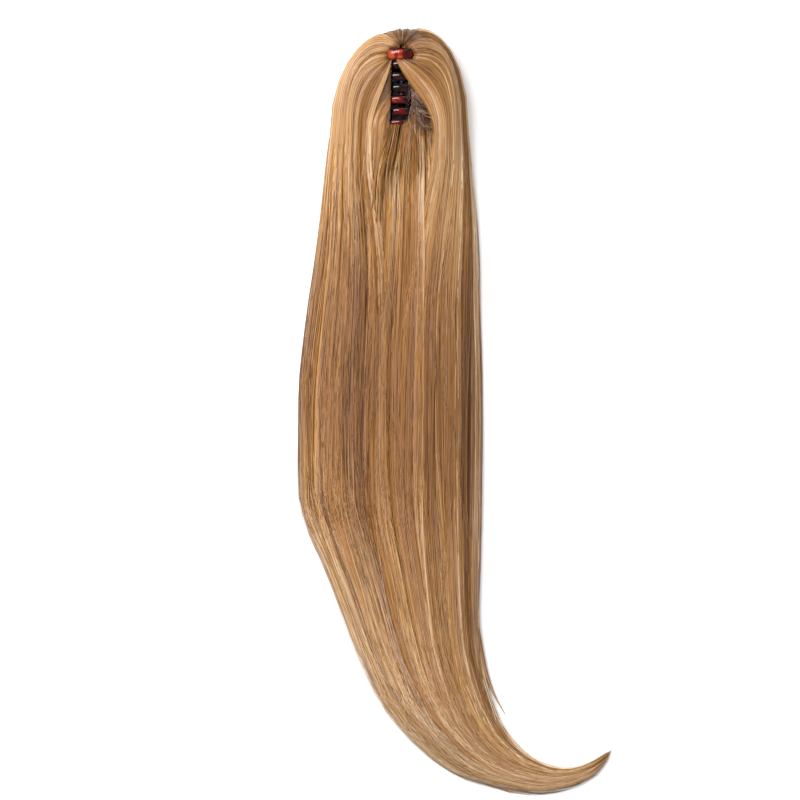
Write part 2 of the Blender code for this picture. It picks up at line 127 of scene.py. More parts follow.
# Teeth from the head end down: y, width, how bright its patch is, partly tortoiseshell and partly
# painted light let through the red plastic.  Even ones grow from the left jaw, odd ones from the right,
# over an ellipse about TOOTH_CENTRE_Z.  Their angles round it and the share of the sweep that the
# round tip takes are given for the end tooth, then the rest.
TEETH = (
    (255.8, 8.5, 0.86),
    (248.4, 5.6, 0.02),
    (239.98, 5.6, 0.06),
    (231.56, 5.6, 0.0),
    (223.14, 5.8, 0.62),
    (214.72, 5.6, 0.42),
    (206.3, 5.6, 0.45),
)
TOOTH_CENTRE_Z = 28.0
TOOTH_RADII = (15.45, 14.45)
TOOTH_THICKNESS = 2.6
TOOTH_POWER = 2.3
TOOTH_TIPS = (0.14, 0.1)
TOOTH_ANGLES = ((32.0, 129.0), (32.0, 117.0))

# How hair leaves the mouth's V on each side: the lane u at the V's edge where the crown ends,
# and the direction (degrees from +x) and reach (mm) with which a strand sets out, as
# polynomials of v from the edge (0) to the outline (1).
FANS = {
    1: {
        "edge": 0.5,
        "angle": (-63.0, 89.0, 0.0, 67.0),
        "reach": (18.0, 0.0, 14.4, -9.0),
        "land": (18.0, 39.6, 0.0, 27.4),
    },
    -1: {
        "edge": 0.42,
        "angle": (-79.0, 113.5, 0.0, 40.5),
        "reach": (17.0, 0.0, 12.5, -4.5),
        "land": (17.0, 37.0, 0.0, 8.0),
    },
}

# Roots of a fan beside the wide end tooth, as (v, x, y, z): low ones come from under the tooth.  A
# strand climbs from its root over ROOT_RISE of its length, and depth d shrinks it by d / CROWN_SHRINK.
ROOTS = {
    1: (
        (0.0, -42.8, 252.4, 43.0),
        (0.3, -38.0, 252.4, 43.0),
        (0.5, -31.4, 252.8, 41.2),
        (0.62, -29.4, 257.0, 39.6),
        (0.74, -33.0, 261.2, 39.6),
        (1.0, -38.6, 263.6, 38.5),
    ),
    -1: (
        (0.0, -46.4, 252.0, 41.4),
        (0.3, -48.0, 252.0, 40.6),
        (0.5, -48.8, 252.8, 39.8),
        (0.62, -48.6, 257.5, 39.6),
        (0.74, -45.6, 261.2, 39.6),
        (1.0, -40.8, 263.6, 38.5),
    ),
}
ROOT_RISE = 0.22
CROWN_SHRINK = 50.0

# Broad light and dark down the hair, as (row in the tail's table, tone on the left, in the
# middle and on the right, then gold likewise).  Rows under 0 lie on the crown.  The tone is painted
# highlight and shade, of gloss bands and of the sides that face towards and away from the light.
TONES_WITH_PAINTED_LIGHT = (
    (-3.0, 0.58, 0.28, 0.44, 0.00, 0.00, 0.00),
    (-1.2, 0.56, 0.50, 0.52, 0.00, 0.08, 0.06),
    (0.6, 0.56, 0.66, 0.58, 0.02, 0.12, 0.08),
    (2.6, 0.48, 0.62, 0.56, 0.06, 0.16, 0.08),
    (4.5, 0.32, 0.38, 0.42, 0.08, 0.20, 0.04),
    (7.0, 0.30, 0.24, 0.32, 0.08, 0.24, 0.02),
    (9.0, 0.44, 0.28, 0.34, 0.06, 0.24, 0.02),
    (11.5, 0.62, 0.51, 0.42, 0.04, 0.20, 0.04),
    (14.0, 0.70, 0.62, 0.46, 0.04, 0.16, 0.06),
    (17.0, 0.72, 0.66, 0.50, 0.06, 0.12, 0.08),
    (20.0, 0.70, 0.66, 0.60, 0.08, 0.08, 0.08),
    (24.0, 0.66, 0.64, 0.62, 0.10, 0.10, 0.10),
)

# Streaks that run the length of the tail: lane, half width, then tone and gold added there.
STREAKS = (
    (-0.98, 0.05, 0.16, 0.00),
    (-0.86, 0.05, 0.10, 0.06),
    (-0.68, 0.05, -0.10, 0.00),
    (-0.22, 0.03, -0.14, 0.35),
    (0.05, 0.05, 0.02, 0.35),
    (0.19, 0.03, -0.20, 0.30),
    (0.31, 0.05, 0.14, 0.30),
    (0.71, 0.04, 0.14, 0.12),
    (0.84, 0.04, -0.24, 0.00),
    # Painted highlight: the right outline faces away from the key light, and this streak lightens it.
    (0.99, 0.07, 0.40, 0.00),
)

# Locks that stand out of the tail's outline: points of the path, width and depth at its start.
LOOSE_LOCKS = {
    "inner_stray": (((9, -120), (14, -152), (20.5, -185), (27.5, -205), (36, -220.5)), 6.0, 6.0),
    "lower_tip": (((40, -266), (64, -272), (85, -270), (105, -259.5)), 7.0, 5.0),
    "upper_tip": (((60, -265), (82, -263), (99, -256), (114.5, -244.5)), 6.0, 4.5),
    "outer_bend": (((-92, -100), (-83, -135), (-73, -166), (-60.5, -196)), 9.0, 9.0),
    "lower_bend": (((-42, -215), (-25, -239), (-5, -256.5), (23, -268.5)), 8.0, 8.0),
}

# Sewn wefts on the jaws: degrees round the jaw's ellipse, stretch of Y, gap and wall, the degrees
# at which rows of stitches run, the length of a stitch, and how wide (degrees) and high a row is.
WEFT_ANGLES = (-35.0, 48.0)
WEFT_Y = (205.0, 260.0)
WEFT_GAP = 0.3
WEFT_WALL = 1.15
WEFT_SEAMS = (-24.0, -18.0, 36.0, 42.0)
WEFT_STITCH = 1.9
JAW_RADII = (15.1, 14.1)
SEAM_HALF_WIDTH = 1.3
SEAM_HEIGHT = 0.3

# Roots of the hair under the claw's lower end: the lane where their row starts and its width in
# lanes, the row's first x from the hinge and its width, and its y with how much that rises.
MIDDLE_LANES = (-0.36, 0.9)
MIDDLE_X = (-9.5, 31.0)
MIDDLE_Y = (203.0, 12.0)

# Lane that the locks on each side of the V aim for, and how far they spread from it.
CURTAIN_LANES = (0.1, 0.9)

# The tuft's roots start TUFT_ROOT_X[0] right of the hinge and run TUFT_ROOT_X[1] to the left.  Its
# outline starts at x = TUFT_EDGE_X[0] and runs TUFT_EDGE_X[1] to the left.  It bends back from its
# foremost point (x, y in TUFT_EDGE) by the third number times the square of the way along x.
# Key points of a strand of the tuft: share of its spread and reach, then mm back, and z.
TUFT_ROOT_Y = 262.0
TUFT_ROOT_X = (2.0, 2.4)
TUFT_EDGE_X = (-27.0, 25.0)
TUFT_EDGE = (-34.0, 275.2, 0.006)
TUFT_KEYS = (
    (0.0, 0.0, 0.0, 38.5),
    (0.34, 0.42, 0.0, 41.5),
    (0.78, 0.88, 0.0, 34.0),
    (1.02, 1.0, 0.0, 18.0),
    (1.1, 1.0, 1.0, 2.8),
    (1.15, 1.0, 12.0, 1.2),
)
TUFT_HEART = (AXIS_X, 252.0, 18.0)
TUFT_PARTING = 0.4
TUFT_LOCKS = 12

# How deep the closed layers lie under the strands.
MANTLE_DEPTH = 2.2
TAIL_BODY_DEPTH = 1.9
PAD_DEPTHS = (1.4, 7.0)

# Names of the two bodies that pieces hang from.
LEFT_BODY = "left_half"
RIGHT_BODY = "right_half"

# The camera: millimetres to a pixel of the photo, its plan place, and its height over the hair's
# middle plane CAMERA_FOCUS_Z, where that scale holds.
PHOTO_MM = 0.72
PHOTO_PIXELS = 800
CAMERA_PLACE = (-40.3, 7.2)
CAMERA_HEIGHT = 7000.0
CAMERA_FOCUS_Z = 30.0
SENSOR = 36.0


def linear(hex_colour):
    """Turn an sRGB hex colour into linear red, green and blue."""
    values = [int(hex_colour[i : i + 2], 16) / 255 for i in (0, 2, 4)]
    return [v / 12.92 if v <= 0.04045 else ((v + 0.055) / 1.055) ** 2.4 for v in values]


def colour_setting(name, description, hex_colour):
    """A colour in the panel, which starts from an sRGB hex colour."""
    return bpy.props.FloatVectorProperty(
        name=name, description=description, subtype="COLOR", default=linear(hex_colour)
    )


def number_setting(name, description, default, unit="NONE"):
    """A number in the panel."""
    return bpy.props.FloatProperty(name=name, description=description, default=default, unit=unit)


class HairSettings(bpy.types.PropertyGroup):
    """Sizes and colours of the hair."""

    strand_width: number_setting("Strand width", "Width of one drawn strand", 0.62 * MM, "LENGTH")
    tip_width: number_setting("Tip width", "Width that a strand thins to at its end", 0.08 * MM, "LENGTH")
    seed: bpy.props.IntProperty(name="Seed", description="Seed of every random choice", default=11)
    shadow_brown: colour_setting("Shadow brown", "Deepest lowlight", "452A14")
    low_brown: colour_setting("Low brown", "Darker strands", "784D27")
    honey: colour_setting("Honey", "Middle of the colour mix", "9B7043")
    blond: colour_setting("Blond", "Lighter strands", "C09A6D")
    pale: colour_setting("Pale", "Lightest highlights", "E0C9AC")
    gold: colour_setting("Gold", "Warm golden strands", "AE7840")


class ClawSettings(bpy.types.PropertyGroup):
    """Colours of the claw and its hidden metal."""

    cherry: colour_setting("Cherry", "Lit red of the plastic", "5E0705")
    # Amber shows where a tooth's patch and its painted light are brightest.
    amber: colour_setting("Amber", "Brightest patches of the plastic", "983A1A")
    tortoise: colour_setting("Tortoise", "Dark patches of the plastic", "0C0202")
    steel: colour_setting("Steel", "Pin and spring", "B9BCC0")
    weft: colour_setting("Weft", "Sewn band and short roots", "2A1B18")


class StageSettings(bpy.types.PropertyGroup):
    """Floor and light of the plain studio."""

    floor: colour_setting("Floor", "Pale floor", "F4F4F5")
    sky: number_setting("Sky", "Strength of the even light", 0.68)
    key: number_setting("Key", "Power of the soft key light", 31.0, "POWER")
    rim: number_setting("Rim", "Power of the light at the head end", 3.0, "POWER")


def bezier(start, set_out, land, end, s):
    """Cubic Bezier from start (s = 0) to end (s = 1), with a handle by each."""
    return (1 - s) ** 3 * start + 3 * (1 - s) ** 2 * s * set_out + 3 * (1 - s) * s**2 * land + s**3 * end


def curve_at(rows, places):
    """Columns of a table at fractional row numbers, on the Catmull-Rom cubic of nearest rows a to d."""
    rows = np.asarray(rows, float)
    padded = np.vstack([2 * rows[0] - rows[1], rows, 2 * rows[-1] - rows[-2]])
    places = np.clip(places, 0, len(rows) - 1)
    before = np.minimum(np.floor(places).astype(int), len(rows) - 2)
    a, b, c, d = (padded[before + k] for k in range(4))
    t = (places - before)[..., None]
    return 0.5 * (2 * b + (c - a) * t + (2 * a - 5 * b + 4 * c - d) * t**2 + (3 * b - a - 3 * c + d) * t**3)


def side_by_side(*parts):
    """Arrays and numbers, broadcast to one shape and joined along a new last axis."""
    return np.stack(np.broadcast_arrays(*parts), axis=-1)


def unit(vectors):
    """Vectors scaled to length one."""
    return vectors / np.maximum(np.linalg.norm(vectors, axis=-1, keepdims=True), 1e-9)


def even_row(points):
    """Even steps from 0 to 1, as one row."""
    return np.linspace(0, 1, points)[None, :]


def smooth(share):
    """Cubic step 3t^2 - 2t^3 on t held between 0 and 1."""
    t = np.clip(share, 0, 1)
    return t * t * (3 - 2 * t)


def dome(u):
    """Height share of the flattened dome (1 - |u|^p)^(1/p) across a section."""
    return (1 - np.clip(np.abs(u), 0, 1) ** DOME_POWER) ** (1 / DOME_POWER)


def lane_of(share, half_width=56.0, height=24.0):
    """Lane u whose distance along the dome's arc from the crest is the given share of the half arc."""
    u = 1 - np.linspace(1, 0, 400) ** 3
    steps = np.hypot(np.diff(u) * half_width, np.diff(dome(u)) * height)
    arc = np.concatenate([[0], np.cumsum(steps)])
    return np.sign(share) * np.interp(np.abs(share), arc / arc[-1], u)


def share_of(lane):
    """The inverse of lane_of, read from the same arc."""
    shares = np.linspace(0, 1, 400)
    return np.interp(lane, lane_of(shares), shares)


def tail_point(place, u, depth):
    """Points of the tail: lane u from the left outline (-1) over the crest (0) to the right one (1).

    The plan point runs from the section's crest towards its outline by |u|, the height is the
    section's height times the dome, and depth shrinks both towards the section's foot.
    """
    row = curve_at(TAIL_STATIONS, place)
    left, right, crest, height = row[..., 0:2], row[..., 2:4], row[..., 4:6], row[..., 6]
    side = np.where((u < 0)[..., None], left, right)
    half = np.maximum(np.linalg.norm(side - crest, axis=-1), 1.0)
    reach = np.abs(u) * np.clip(1 - depth / half, 0.2, 1.3)
    plan = crest + (side - crest) * reach[..., None]
    z = np.maximum(height - depth, LEAST_HEIGHT) * dome(u) + FLOOR_CLEARANCE
    return np.concatenate([plan, z[..., None]], axis=-1)


def crown_point(side, w, t, depth):
    """Points of the crown: w from the V's edge (0) over the shoulder to the table (1), t along a strand.

    In plan a strand is a cubic Bezier from its root by the end tooth to its lane where the
    crown ends.  Its height falls from the crown's to that lane's by 1 - (1 - t)^n, faster
    for outer strands, so that they wrap the head end.
    """
    fan = FANS[side]
    power_sum = np.polynomial.polynomial.polyval
    first = share_of(np.array(fan["edge"]))
    lane = lane_of(first + (1 - first) * w)
    v = (lane - fan["edge"]) / (1 - fan["edge"])
    root_v, root_x, root_y, root_z = np.array(ROOTS[side]).T
    start = side_by_side(np.interp(v, root_v, root_x), np.interp(v, root_v, root_y))
    angle = np.radians(power_sum(v, fan["angle"]))
    reach = power_sum(v, fan["reach"])
    set_out = start + side_by_side(side * np.cos(angle), np.sin(angle)) * reach[..., None]
    outline = TAIL_STATIONS[0][1 + side]
    end = side_by_side(AXIS_X + (outline - AXIS_X) * lane, CROWN_END_Y)
    land = end + side_by_side(0.0, power_sum(v, fan["land"]))
    plan = bezier(start, set_out, land, end, t[..., None])
    inward = 1 - depth / CROWN_SHRINK
    foot = np.array([AXIS_X, CROWN_END_Y])
    shrink = side_by_side(inward, np.where(plan[..., 1] > CROWN_END_Y, inward, 1.0))
    plan = foot + (plan - foot) * shrink
    heights = np.array(CROWN_HEIGHTS)[::-1]
    top = np.interp(plan[..., 1], heights[:, 0], heights[:, 1])
    drop = 1 - (1 - t) ** (2.4 + 6 * w**3)
    z = np.maximum(top - depth, LEAST_HEIGHT) * (1 - (1 - dome(lane)) * drop)
    low = np.interp(v, root_v, root_z) - depth
    z = low + (z - low) * smooth(t / ROOT_RISE)
    return np.concatenate([plan, z[..., None] + FLOOR_CLEARANCE], axis=-1)


def new_mesh(name, points, quads, triangles, attributes=(), corner_uv=None):
    """A mesh object from whole arrays: points in mm, faces by index, point attributes, corner UVs."""
    mesh = bpy.data.meshes.new(name)
    counts = np.concatenate([np.full(len(quads), 4), np.full(len(triangles), 3)])
    loops = np.concatenate([quads.reshape(-1), triangles.reshape(-1)])
    mesh.vertices.add(len(points))
    mesh.vertices.foreach_set("co", (points * MM).astype(np.float32).reshape(-1))
    mesh.loops.add(len(loops))
    mesh.loops.foreach_set("vertex_index", loops.astype(np.int32))
    mesh.polygons.add(len(counts))
    mesh.polygons.foreach_set("loop_start", (np.cumsum(counts) - counts).astype(np.int32))
    mesh.polygons.foreach_set("use_smooth", np.ones(len(counts), bool))
    for label, values in attributes:
        layer = mesh.attributes.new(label, "FLOAT_VECTOR", "POINT")
        layer.data.foreach_set("vector", values.astype(np.float32).reshape(-1))
    if corner_uv is not None:
        mesh.uv_layers.new(name="OFBake").data.foreach_set("uv", corner_uv.astype(np.float32).reshape(-1))
    mesh.update(calc_edges=True)
    piece = bpy.data.objects.new(name, mesh)
    bpy.context.scene.collection.objects.link(piece)
    return piece


def strand_piece(name, paths, widths, tints):
    """Fine closed strands, three-sided and tapered, one per row of paths (strands x points x 3, mm).

    Each ring of three points stands across the path.  Its sideways direction is the one before it
    less its part along the path, so that a strand never twists.  tints holds tone, gold and
    saturation.  The bake map gives every strand its own square cell.
    """
    strands, points = paths.shape[:2]
    along = unit(np.gradient(paths, axis=1))
    across = np.cross(along, np.array([0.05, 0.03, 1.0]))
    for point in range(points):
        ahead, beside = along[:, point], across[:, max(point - 1, 0)]
        across[:, point] = unit(beside - np.sum(beside * ahead, axis=1, keepdims=True) * ahead)
    upward = np.cross(across, along)
    turns = np.radians([90.0, 210.0, 330.0])
    wide = np.cos(turns)[None, None, :, None] * across[:, :, None, :]
    tall = np.sin(turns)[None, None, :, None] * upward[:, :, None, :]
    rings = paths[:, :, None, :] + (wide + tall * 0.8) * widths[:, :, None, None] / 2
    index = np.arange(strands * points * 3).reshape(strands, points, 3)
    following = np.roll(index, -1, axis=2)
    quads = side_by_side(index[:, :-1], index[:, 1:], following[:, 1:], following[:, :-1])
    caps = np.concatenate([index[:, 0], index[:, -1][:, ::-1]])
    cells = math.ceil(math.sqrt(strands))
    number = np.arange(strands)
    cell = side_by_side(number % cells, number // cells)
    u = np.arange(4) / 3 * 0.8 + 0.1
    v = np.linspace(0.06, 0.94, points)
    grid = side_by_side(u[None, :], v[:, None])
    corner = np.stack([grid[:-1, :-1], grid[1:, :-1], grid[1:, 1:], grid[:-1, 1:]], axis=-2)
    quad_uv = (corner[None] + cell[:, None, None, None, :]) / cells
    cap_uv = (np.array([[0.1, 0.02], [0.2, 0.02], [0.2, 0.05]])[None] + cell[:, None, :]) / cells
    corner_uv = np.concatenate([quad_uv.reshape(-1, 2), cap_uv.reshape(-1, 2), cap_uv.reshape(-1, 2)])
    tint = np.repeat(tints, 3, axis=1).reshape(-1, 3)
    faces = quads.reshape(-1, 4), caps.reshape(-1, 3)
    return new_mesh(name, rings.reshape(-1, 3), *faces, [("strand", tint)], corner_uv)


def signed_volume(points, quads, triangles):
    """Volume inside a closed mesh, above zero when its faces point outwards.

    Each face is cut into triangles a, b, c, and every one adds a . (b x c) / 6.
    """
    faces = np.concatenate([quads[:, :3], quads[:, [0, 2, 3]], triangles])
    a, b, c = (points[faces[:, corner]] for corner in range(3))
    return np.sum(a * np.cross(b, c)) / 6


def grid_piece(name, points, label, values, wrap=False, capped=False):
    """A surface through a grid of points (rows x columns x 3, mm), with values as a named point attribute.

    A closed surface is turned so that its faces point outwards.
    """
    rows, columns = points.shape[:2]
    index = np.arange(rows * columns).reshape(rows, columns)
    right = np.roll(index, -1, axis=1) if wrap else index[:, 1:]
    left = index if wrap else index[:, :-1]
    quads = side_by_side(left[:-1], left[1:], right[1:], right[:-1]).reshape(-1, 4)
    triangles = np.zeros((0, 3), int)
    if capped:
        ends = []
        for ring in (index[0], index[-1][::-1]):
            ends.append(side_by_side(ring[0], ring[1:-1], ring[2:]))
        triangles = np.concatenate(ends)
        if signed_volume(points.reshape(-1, 3), quads, triangles) < 0:
            quads, triangles = quads[:, ::-1], triangles[:, ::-1]
    return new_mesh(name, points.reshape(-1, 3), quads, triangles, [(label, values.reshape(-1, 3))])


def add_node(tree, kind, settings=None, **links):
    """Add a node; settings hold its properties and inputs, links name inputs fed by other sockets."""
    node = tree.nodes.new("ShaderNode" + kind)
    for key, value in (settings or {}).items():
        if hasattr(node, key):
            setattr(node, key, value)
        else:
            node.inputs[key].default_value = value
    for key, socket in links.items():
        slot = int(key[3:]) if key.startswith("in_") else key.replace("_", " ").title()
        tree.links.new(socket, node.inputs[slot])
    return node


def new_material(name):
    """A material with a lone Principled shader."""
    material = bpy.data.materials.new(name)
    material.use_nodes = True
    return material, material.node_tree, material.node_tree.nodes["Principled BSDF"]


def set_inputs(shader, **values):
    """Set a shader's own sockets by name."""
    full = {"ior": "IOR", "specular": "Specular IOR Level"}
    for key, value in values.items():
        shader.inputs[full.get(key, key.replace("_", " ").title())].default_value = value


def rgba(colour):
    """A colour property with full alpha."""
    return [*colour, 1.0]


def noise(tree, vector, scale, detail):
    """Noise over a vector."""
    settings = {"Scale": scale, "Detail": detail}
    return add_node(tree, "TexNoise", settings, vector=vector).outputs["Fac"]


def stretched(tree, vector, scale):
    """A vector scaled on each axis."""
    return add_node(tree, "Mapping", {"Scale": scale}, vector=vector).outputs["Vector"]


def object_place(tree):
    """Where a point lies on its own piece."""
    return add_node(tree, "TexCoord").outputs["Object"]


def attribute(tree, name):
    """A named point attribute as a vector."""
    return add_node(tree, "Attribute", {"attribute_name": name}).outputs["Vector"]


def attribute_parts(tree, name):
    """The three numbers of a named point attribute."""
    return add_node(tree, "SeparateXYZ", vector=attribute(tree, name)).outputs


def map_range(tree, value, low, high, to_low, to_high):
    """A value from low..high moved to to_low..to_high."""
    ends = {"From Min": low, "From Max": high, "To Min": to_low, "To Max": to_high}
    return add_node(tree, "MapRange", ends, value=value).outputs["Result"]


def total(tree, first, second):
    """Sum of two values."""
    return add_node(tree, "Math", {"operation": "ADD"}, in_0=first, in_1=second).outputs["Value"]


def colour_ramp(tree, value, stops):
    """Colour at a value, from (place, colour) stops."""
    ramp = add_node(tree, "ValToRGB", fac=value)
    elements = ramp.color_ramp.elements
    while len(elements) < len(stops):
        elements.new(0.5)
    for element, (place, colour) in zip(elements, stops):
        element.position = place
        element.color = rgba(colour)
    return ramp.outputs["Color"]


def add_bump(tree, shader, height, strength, distance):
    """Raise the shader's surface by a height."""
    bump = add_node(tree, "Bump", {"Strength": strength, "Distance": distance}, height=height)
    tree.links.new(bump.outputs["Normal"], shader.inputs["Normal"])


def hair_ramp(tree, tone, gold, hair):
    """Colour of hair from a tone between 0 and 1, warmed towards gold."""
    shades = (hair.shadow_brown, hair.low_brown, hair.honey, hair.blond, hair.pale)
    ramp = colour_ramp(tree, tone, tuple(zip((0.0, 0.28, 0.52, 0.76, 1.0), shades)))
    warm = add_node(tree, "Mix", {"data_type": "RGBA"}, factor=gold, in_6=ramp)
    warm.inputs[7].default_value = rgba(hair.gold)
    return warm.outputs[2]


def strand_material(hair):
    """Heat-resistant synthetic hair fibre, extruded and brushed.

    Each fibre has its own tone, so the bundle shows lengthwise streaks, with a soft sheen across.
    """
    material, tree, shader = new_material("synthetic_hair_strands")
    tone, gold, saturation = attribute_parts(tree, "strand")
    faded = add_node(
        tree,
        "HueSaturation",
        color=hair_ramp(tree, tone, gold, hair),
        saturation=saturation,
        hue=map_range(tree, saturation, 0.75, 1.2, 0.488, 0.51),
    )
    tree.links.new(faded.outputs["Color"], shader.inputs["Base Color"])
    set_inputs(shader, roughness=0.42, ior=1.5, specular=0.42)
    return material


def under_material(hair):
    """The same fibre seen in depth between strands, with painted shade: darker, finely streaked along the
    lanes.
    """
    material, tree, shader = new_material("synthetic_hair_depth_painted_shade")
    fine = noise(tree, stretched(tree, attribute(tree, "lane"), (1.3, 0.012, 1.0)), 1.0, 2.0)
    # Painted shade: tones stay in the dark half of the ramp, for hair lying deep between strands.
    tone = map_range(tree, fine, 0.3, 0.7, 0.05, 0.5)
    gold = map_range(tree, fine, 0.5, 0.8, 0.0, 0.4)
    tree.links.new(hair_ramp(tree, tone, gold, hair), shader.inputs["Base Color"])
    add_bump(tree, shader, fine, 0.6, 0.0006)
    set_inputs(shader, roughness=0.55, ior=1.5)
    return material


def claw_material(claw):
    """Polished cellulose acetate in cherry tortoiseshell: mirror gloss over near-black and lit red.

    The point attribute holds each tooth's patch, partly tortoiseshell and partly painted light let through
    the red plastic, with more painted light on the tooth's left and painted shade at its edges; swirls some
    5 mm wide break both colours up.
    """
    material, tree, shader = new_material("cherry_acetate")
    swirl = map_range(tree, noise(tree, object_place(tree), 190.0, 3.0), 0.35, 0.65, -0.1, 0.34)
    lit = attribute_parts(tree, "patch_and_painted_light")[0]
    stops = ((0.15, claw.tortoise), (0.75, claw.cherry), (1.0, claw.amber))
    tree.links.new(colour_ramp(tree, total(tree, swirl, lit), stops), shader.inputs["Base Color"])
    set_inputs(shader, roughness=0.12, ior=1.49, specular=0.22)
    return material


def steel_material(claw):
    """Drawn spring steel wire: fine lengthwise scratches blur its reflections."""
    material, tree, shader = new_material("drawn_spring_steel")
    scratch = noise(tree, stretched(tree, object_place(tree), (4000.0, 200.0, 4000.0)), 1.0, 2.0)
    tree.links.new(map_range(tree, scratch, 0.0, 1.0, 0.2, 0.45), shader.inputs["Roughness"])
    set_inputs(shader, metallic=1.0, base_color=rgba(claw.steel))
    return material


def weft_material(claw):
    """Machine-sewn weft: matted dark roots, ridged about every 1.5 mm, matte and uneven."""
    material, tree, shader = new_material("sewn_weft")
    place = object_place(tree)
    fuzz = noise(tree, place, 900.0, 3.0)
    rows = add_node(tree, "TexWave", {"Scale": 210.0, "bands_direction": "Z"}, vector=place)
    mix = add_node(tree, "Mix", {"data_type": "RGBA"}, factor=fuzz)
    for slot, shade in ((6, 0.4), (7, 2.2)):
        mix.inputs[slot].default_value = rgba([shade * c for c in claw.weft])
    tree.links.new(mix.outputs[2], shader.inputs["Base Color"])
    add_bump(tree, shader, total(tree, fuzz, rows.outputs["Fac"]), 0.7, 0.0004)
    set_inputs(shader, roughness=0.85, specular=0.15)
    return material


def tone_at(places, u):
    """Broad tone and gold of the hair at a place and lane, read from the table of tones; the tone is painted
    highlight and shade.

    Both are interpolated down the hair, then across by the parabola through left, middle and right.
    """
    table = np.array(TONES_WITH_PAINTED_LIGHT)
    columns = [np.interp(places, table[:, 0], table[:, k]) for k in range(1, 7)]
    blends = (u * (u - 1) / 2, 1 - u * u, u * (u + 1) / 2)
    tone = sum(share * column for share, column in zip(blends, columns[:3]))
    gold = sum(share * column for share, column in zip(blends, columns[3:]))
    return tone, gold


def lock_traits(rng, locks, early):
    """Random traits of each lock: how deep it lies, how it drifts, its colour and where it ends."""
    short = rng.uniform(15.0, LAST - 1.5, locks)
    late = LAST - 0.05 - np.abs(rng.normal(0, 1.0, locks))
    return {
        "depth": rng.uniform(0.0, 2.3, locks),
        "drift": rng.normal(0, 0.03, locks),
        "slide": rng.normal(0, 0.035, locks),
        "phase": rng.uniform(0, 2 * np.pi, locks),
        "width": rng.uniform(0.016, 0.05, locks),
        "tone": rng.normal(0, 0.11, locks),
        "gold": np.where(rng.random(locks) < 0.15, rng.uniform(0.1, 0.4, locks), rng.normal(0, 0.05, locks)),
        "end": np.where(rng.random(locks) < early, short, late),
    }


def add_streaks(traits, lanes):
    """Add the tail's streaks to locks by their lanes, each as a bell exp(-x^2) across."""
    for lane, half_width, tone, gold in STREAKS:
        bell = np.exp(-(((lanes - lane) / half_width) ** 2))
        traits["tone"] += tone * bell
        traits["gold"] += gold * bell


def members(rng, locks, strands):
    """Which lock each strand belongs to, and its place across that lock from -1 to 1."""
    lock = np.sort(np.arange(strands) % locks)
    across = np.clip(rng.normal(0, 0.5, strands), -1, 1)
    return lock, across


def tail_run(rng, traits, lock, across, first, target, starts, points, ease):
    """Places down the tail, lanes and depths of strands that lie in locks.

    The lock's share of the arc eases from first to target, plus a slow wave and slide of its
    own; a strand keeps its place across the lock, which pinches together at its end.  A lock
    is round across: depth grows with the square of the place across it.
    """
    strands = len(lock)
    ends = traits["end"][lock] - np.abs(rng.normal(0, 0.4, strands))
    ends = np.maximum(ends, starts + 2.0)
    t = even_row(points) + np.zeros((strands, 1))
    t[:, 1:-1] += rng.uniform(-0.4, 0.4, (strands, 1)) / (points - 1)
    t = t - 0.07 * np.sin(2 * np.pi * t)
    places = starts[:, None] + (ends - starts)[:, None] * t
    eased = smooth((places - starts[:, None]) / ease)
    wave = traits["drift"][lock][:, None] * np.sin(places * 0.3 + traits["phase"][lock][:, None])
    slide = (traits["slide"][lock][:, None] + rng.normal(0, 0.018, (strands, 1))) * t
    stray = rng.normal(0, 0.012, (strands, 1)) * np.sin(places * 0.55 + rng.uniform(0, 6, (strands, 1)))
    pinch = 1 - 0.7 * smooth((places - ends[:, None] + 3.5) / 3.5)
    within = (across * traits["width"][lock])[:, None] * pinch
    share = first[:, None] + ((target - first)[:, None] + wave + slide + stray + within) * eased
    lanes = lane_of(np.clip(share, -1, 1))
    depths = traits["depth"][lock][:, None] + 1.1 * across[:, None] ** 2 + rng.normal(0, 0.22, (strands, 1))
    return places, lanes, depths * np.ones_like(places)


def colours(rng, places, lanes, traits, lock, root_shade, root_length):
    """Tone, gold and saturation of each strand: its place's, its lock's and its own, with painted shade
    darkening the root, where it goes under the claw and under other hair.
    """
    strands, points = places.shape
    along = even_row(points)
    tone, gold = tone_at(places, lanes)
    slow = 0.05 * np.sin(along * 9 + rng.uniform(0, 6, (strands, 1)))
    tone = tone + traits["tone"][lock][:, None] + rng.normal(0, 0.12, (strands, 1)) + slow
    # Painted shade: the strand darkens towards its root, which lies under the claw and under other hair.
    tone = tone - root_shade * (1 - smooth(along / root_length))
    gold = gold + traits["gold"][lock][:, None] + rng.normal(0, 0.1, (strands, 1))
    saturation = np.clip(rng.normal(1.0, 0.1, (strands, 1)), 0.75, 1.2)
    return side_by_side(np.clip(tone, 0, 1), np.clip(gold, 0, 0.55), saturation)


def make_pieces(name, parts, rng, paths, tints, hair, material, thin=1.0):
    """Share strands out over some pieces, and give each strand a width that tapers at its end."""
    pieces = []
    for part in range(parts):
        chosen = slice(part, None, parts)
        count, points = paths[chosen].shape[:2]
        along = even_row(points)
        taper = np.minimum(1, (1 - along) / 0.14) ** 0.8
        full = hair.strand_width / MM * thin * rng.uniform(0.7, 1.15, (count, 1))
        tip = hair.tip_width / MM
        label = f"{name}_{part + 1}" if parts > 1 else name
        piece = strand_piece(label, paths[chosen], tip + (full - tip) * taper, tints[chosen])
        piece.data.materials.append(material)
        pieces.append(piece)
    return pieces


def two_sided(name, rng, paths, tints, hair, material, thin=1.0):
    """Make strands that lie on both sides of the claw's middle, and return the left piece.

    The right piece is made in place and hangs from no body.
    """
    right = paths[:, 0, 0] > AXIS_X + 1.0
    for piece in make_pieces(f"{name}_right", 1, rng, paths[right], tints[right], hair, material, thin):
        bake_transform(piece)
    return make_pieces(f"{name}_left", 1, rng, paths[~right], tints[~right], hair, material, thin)


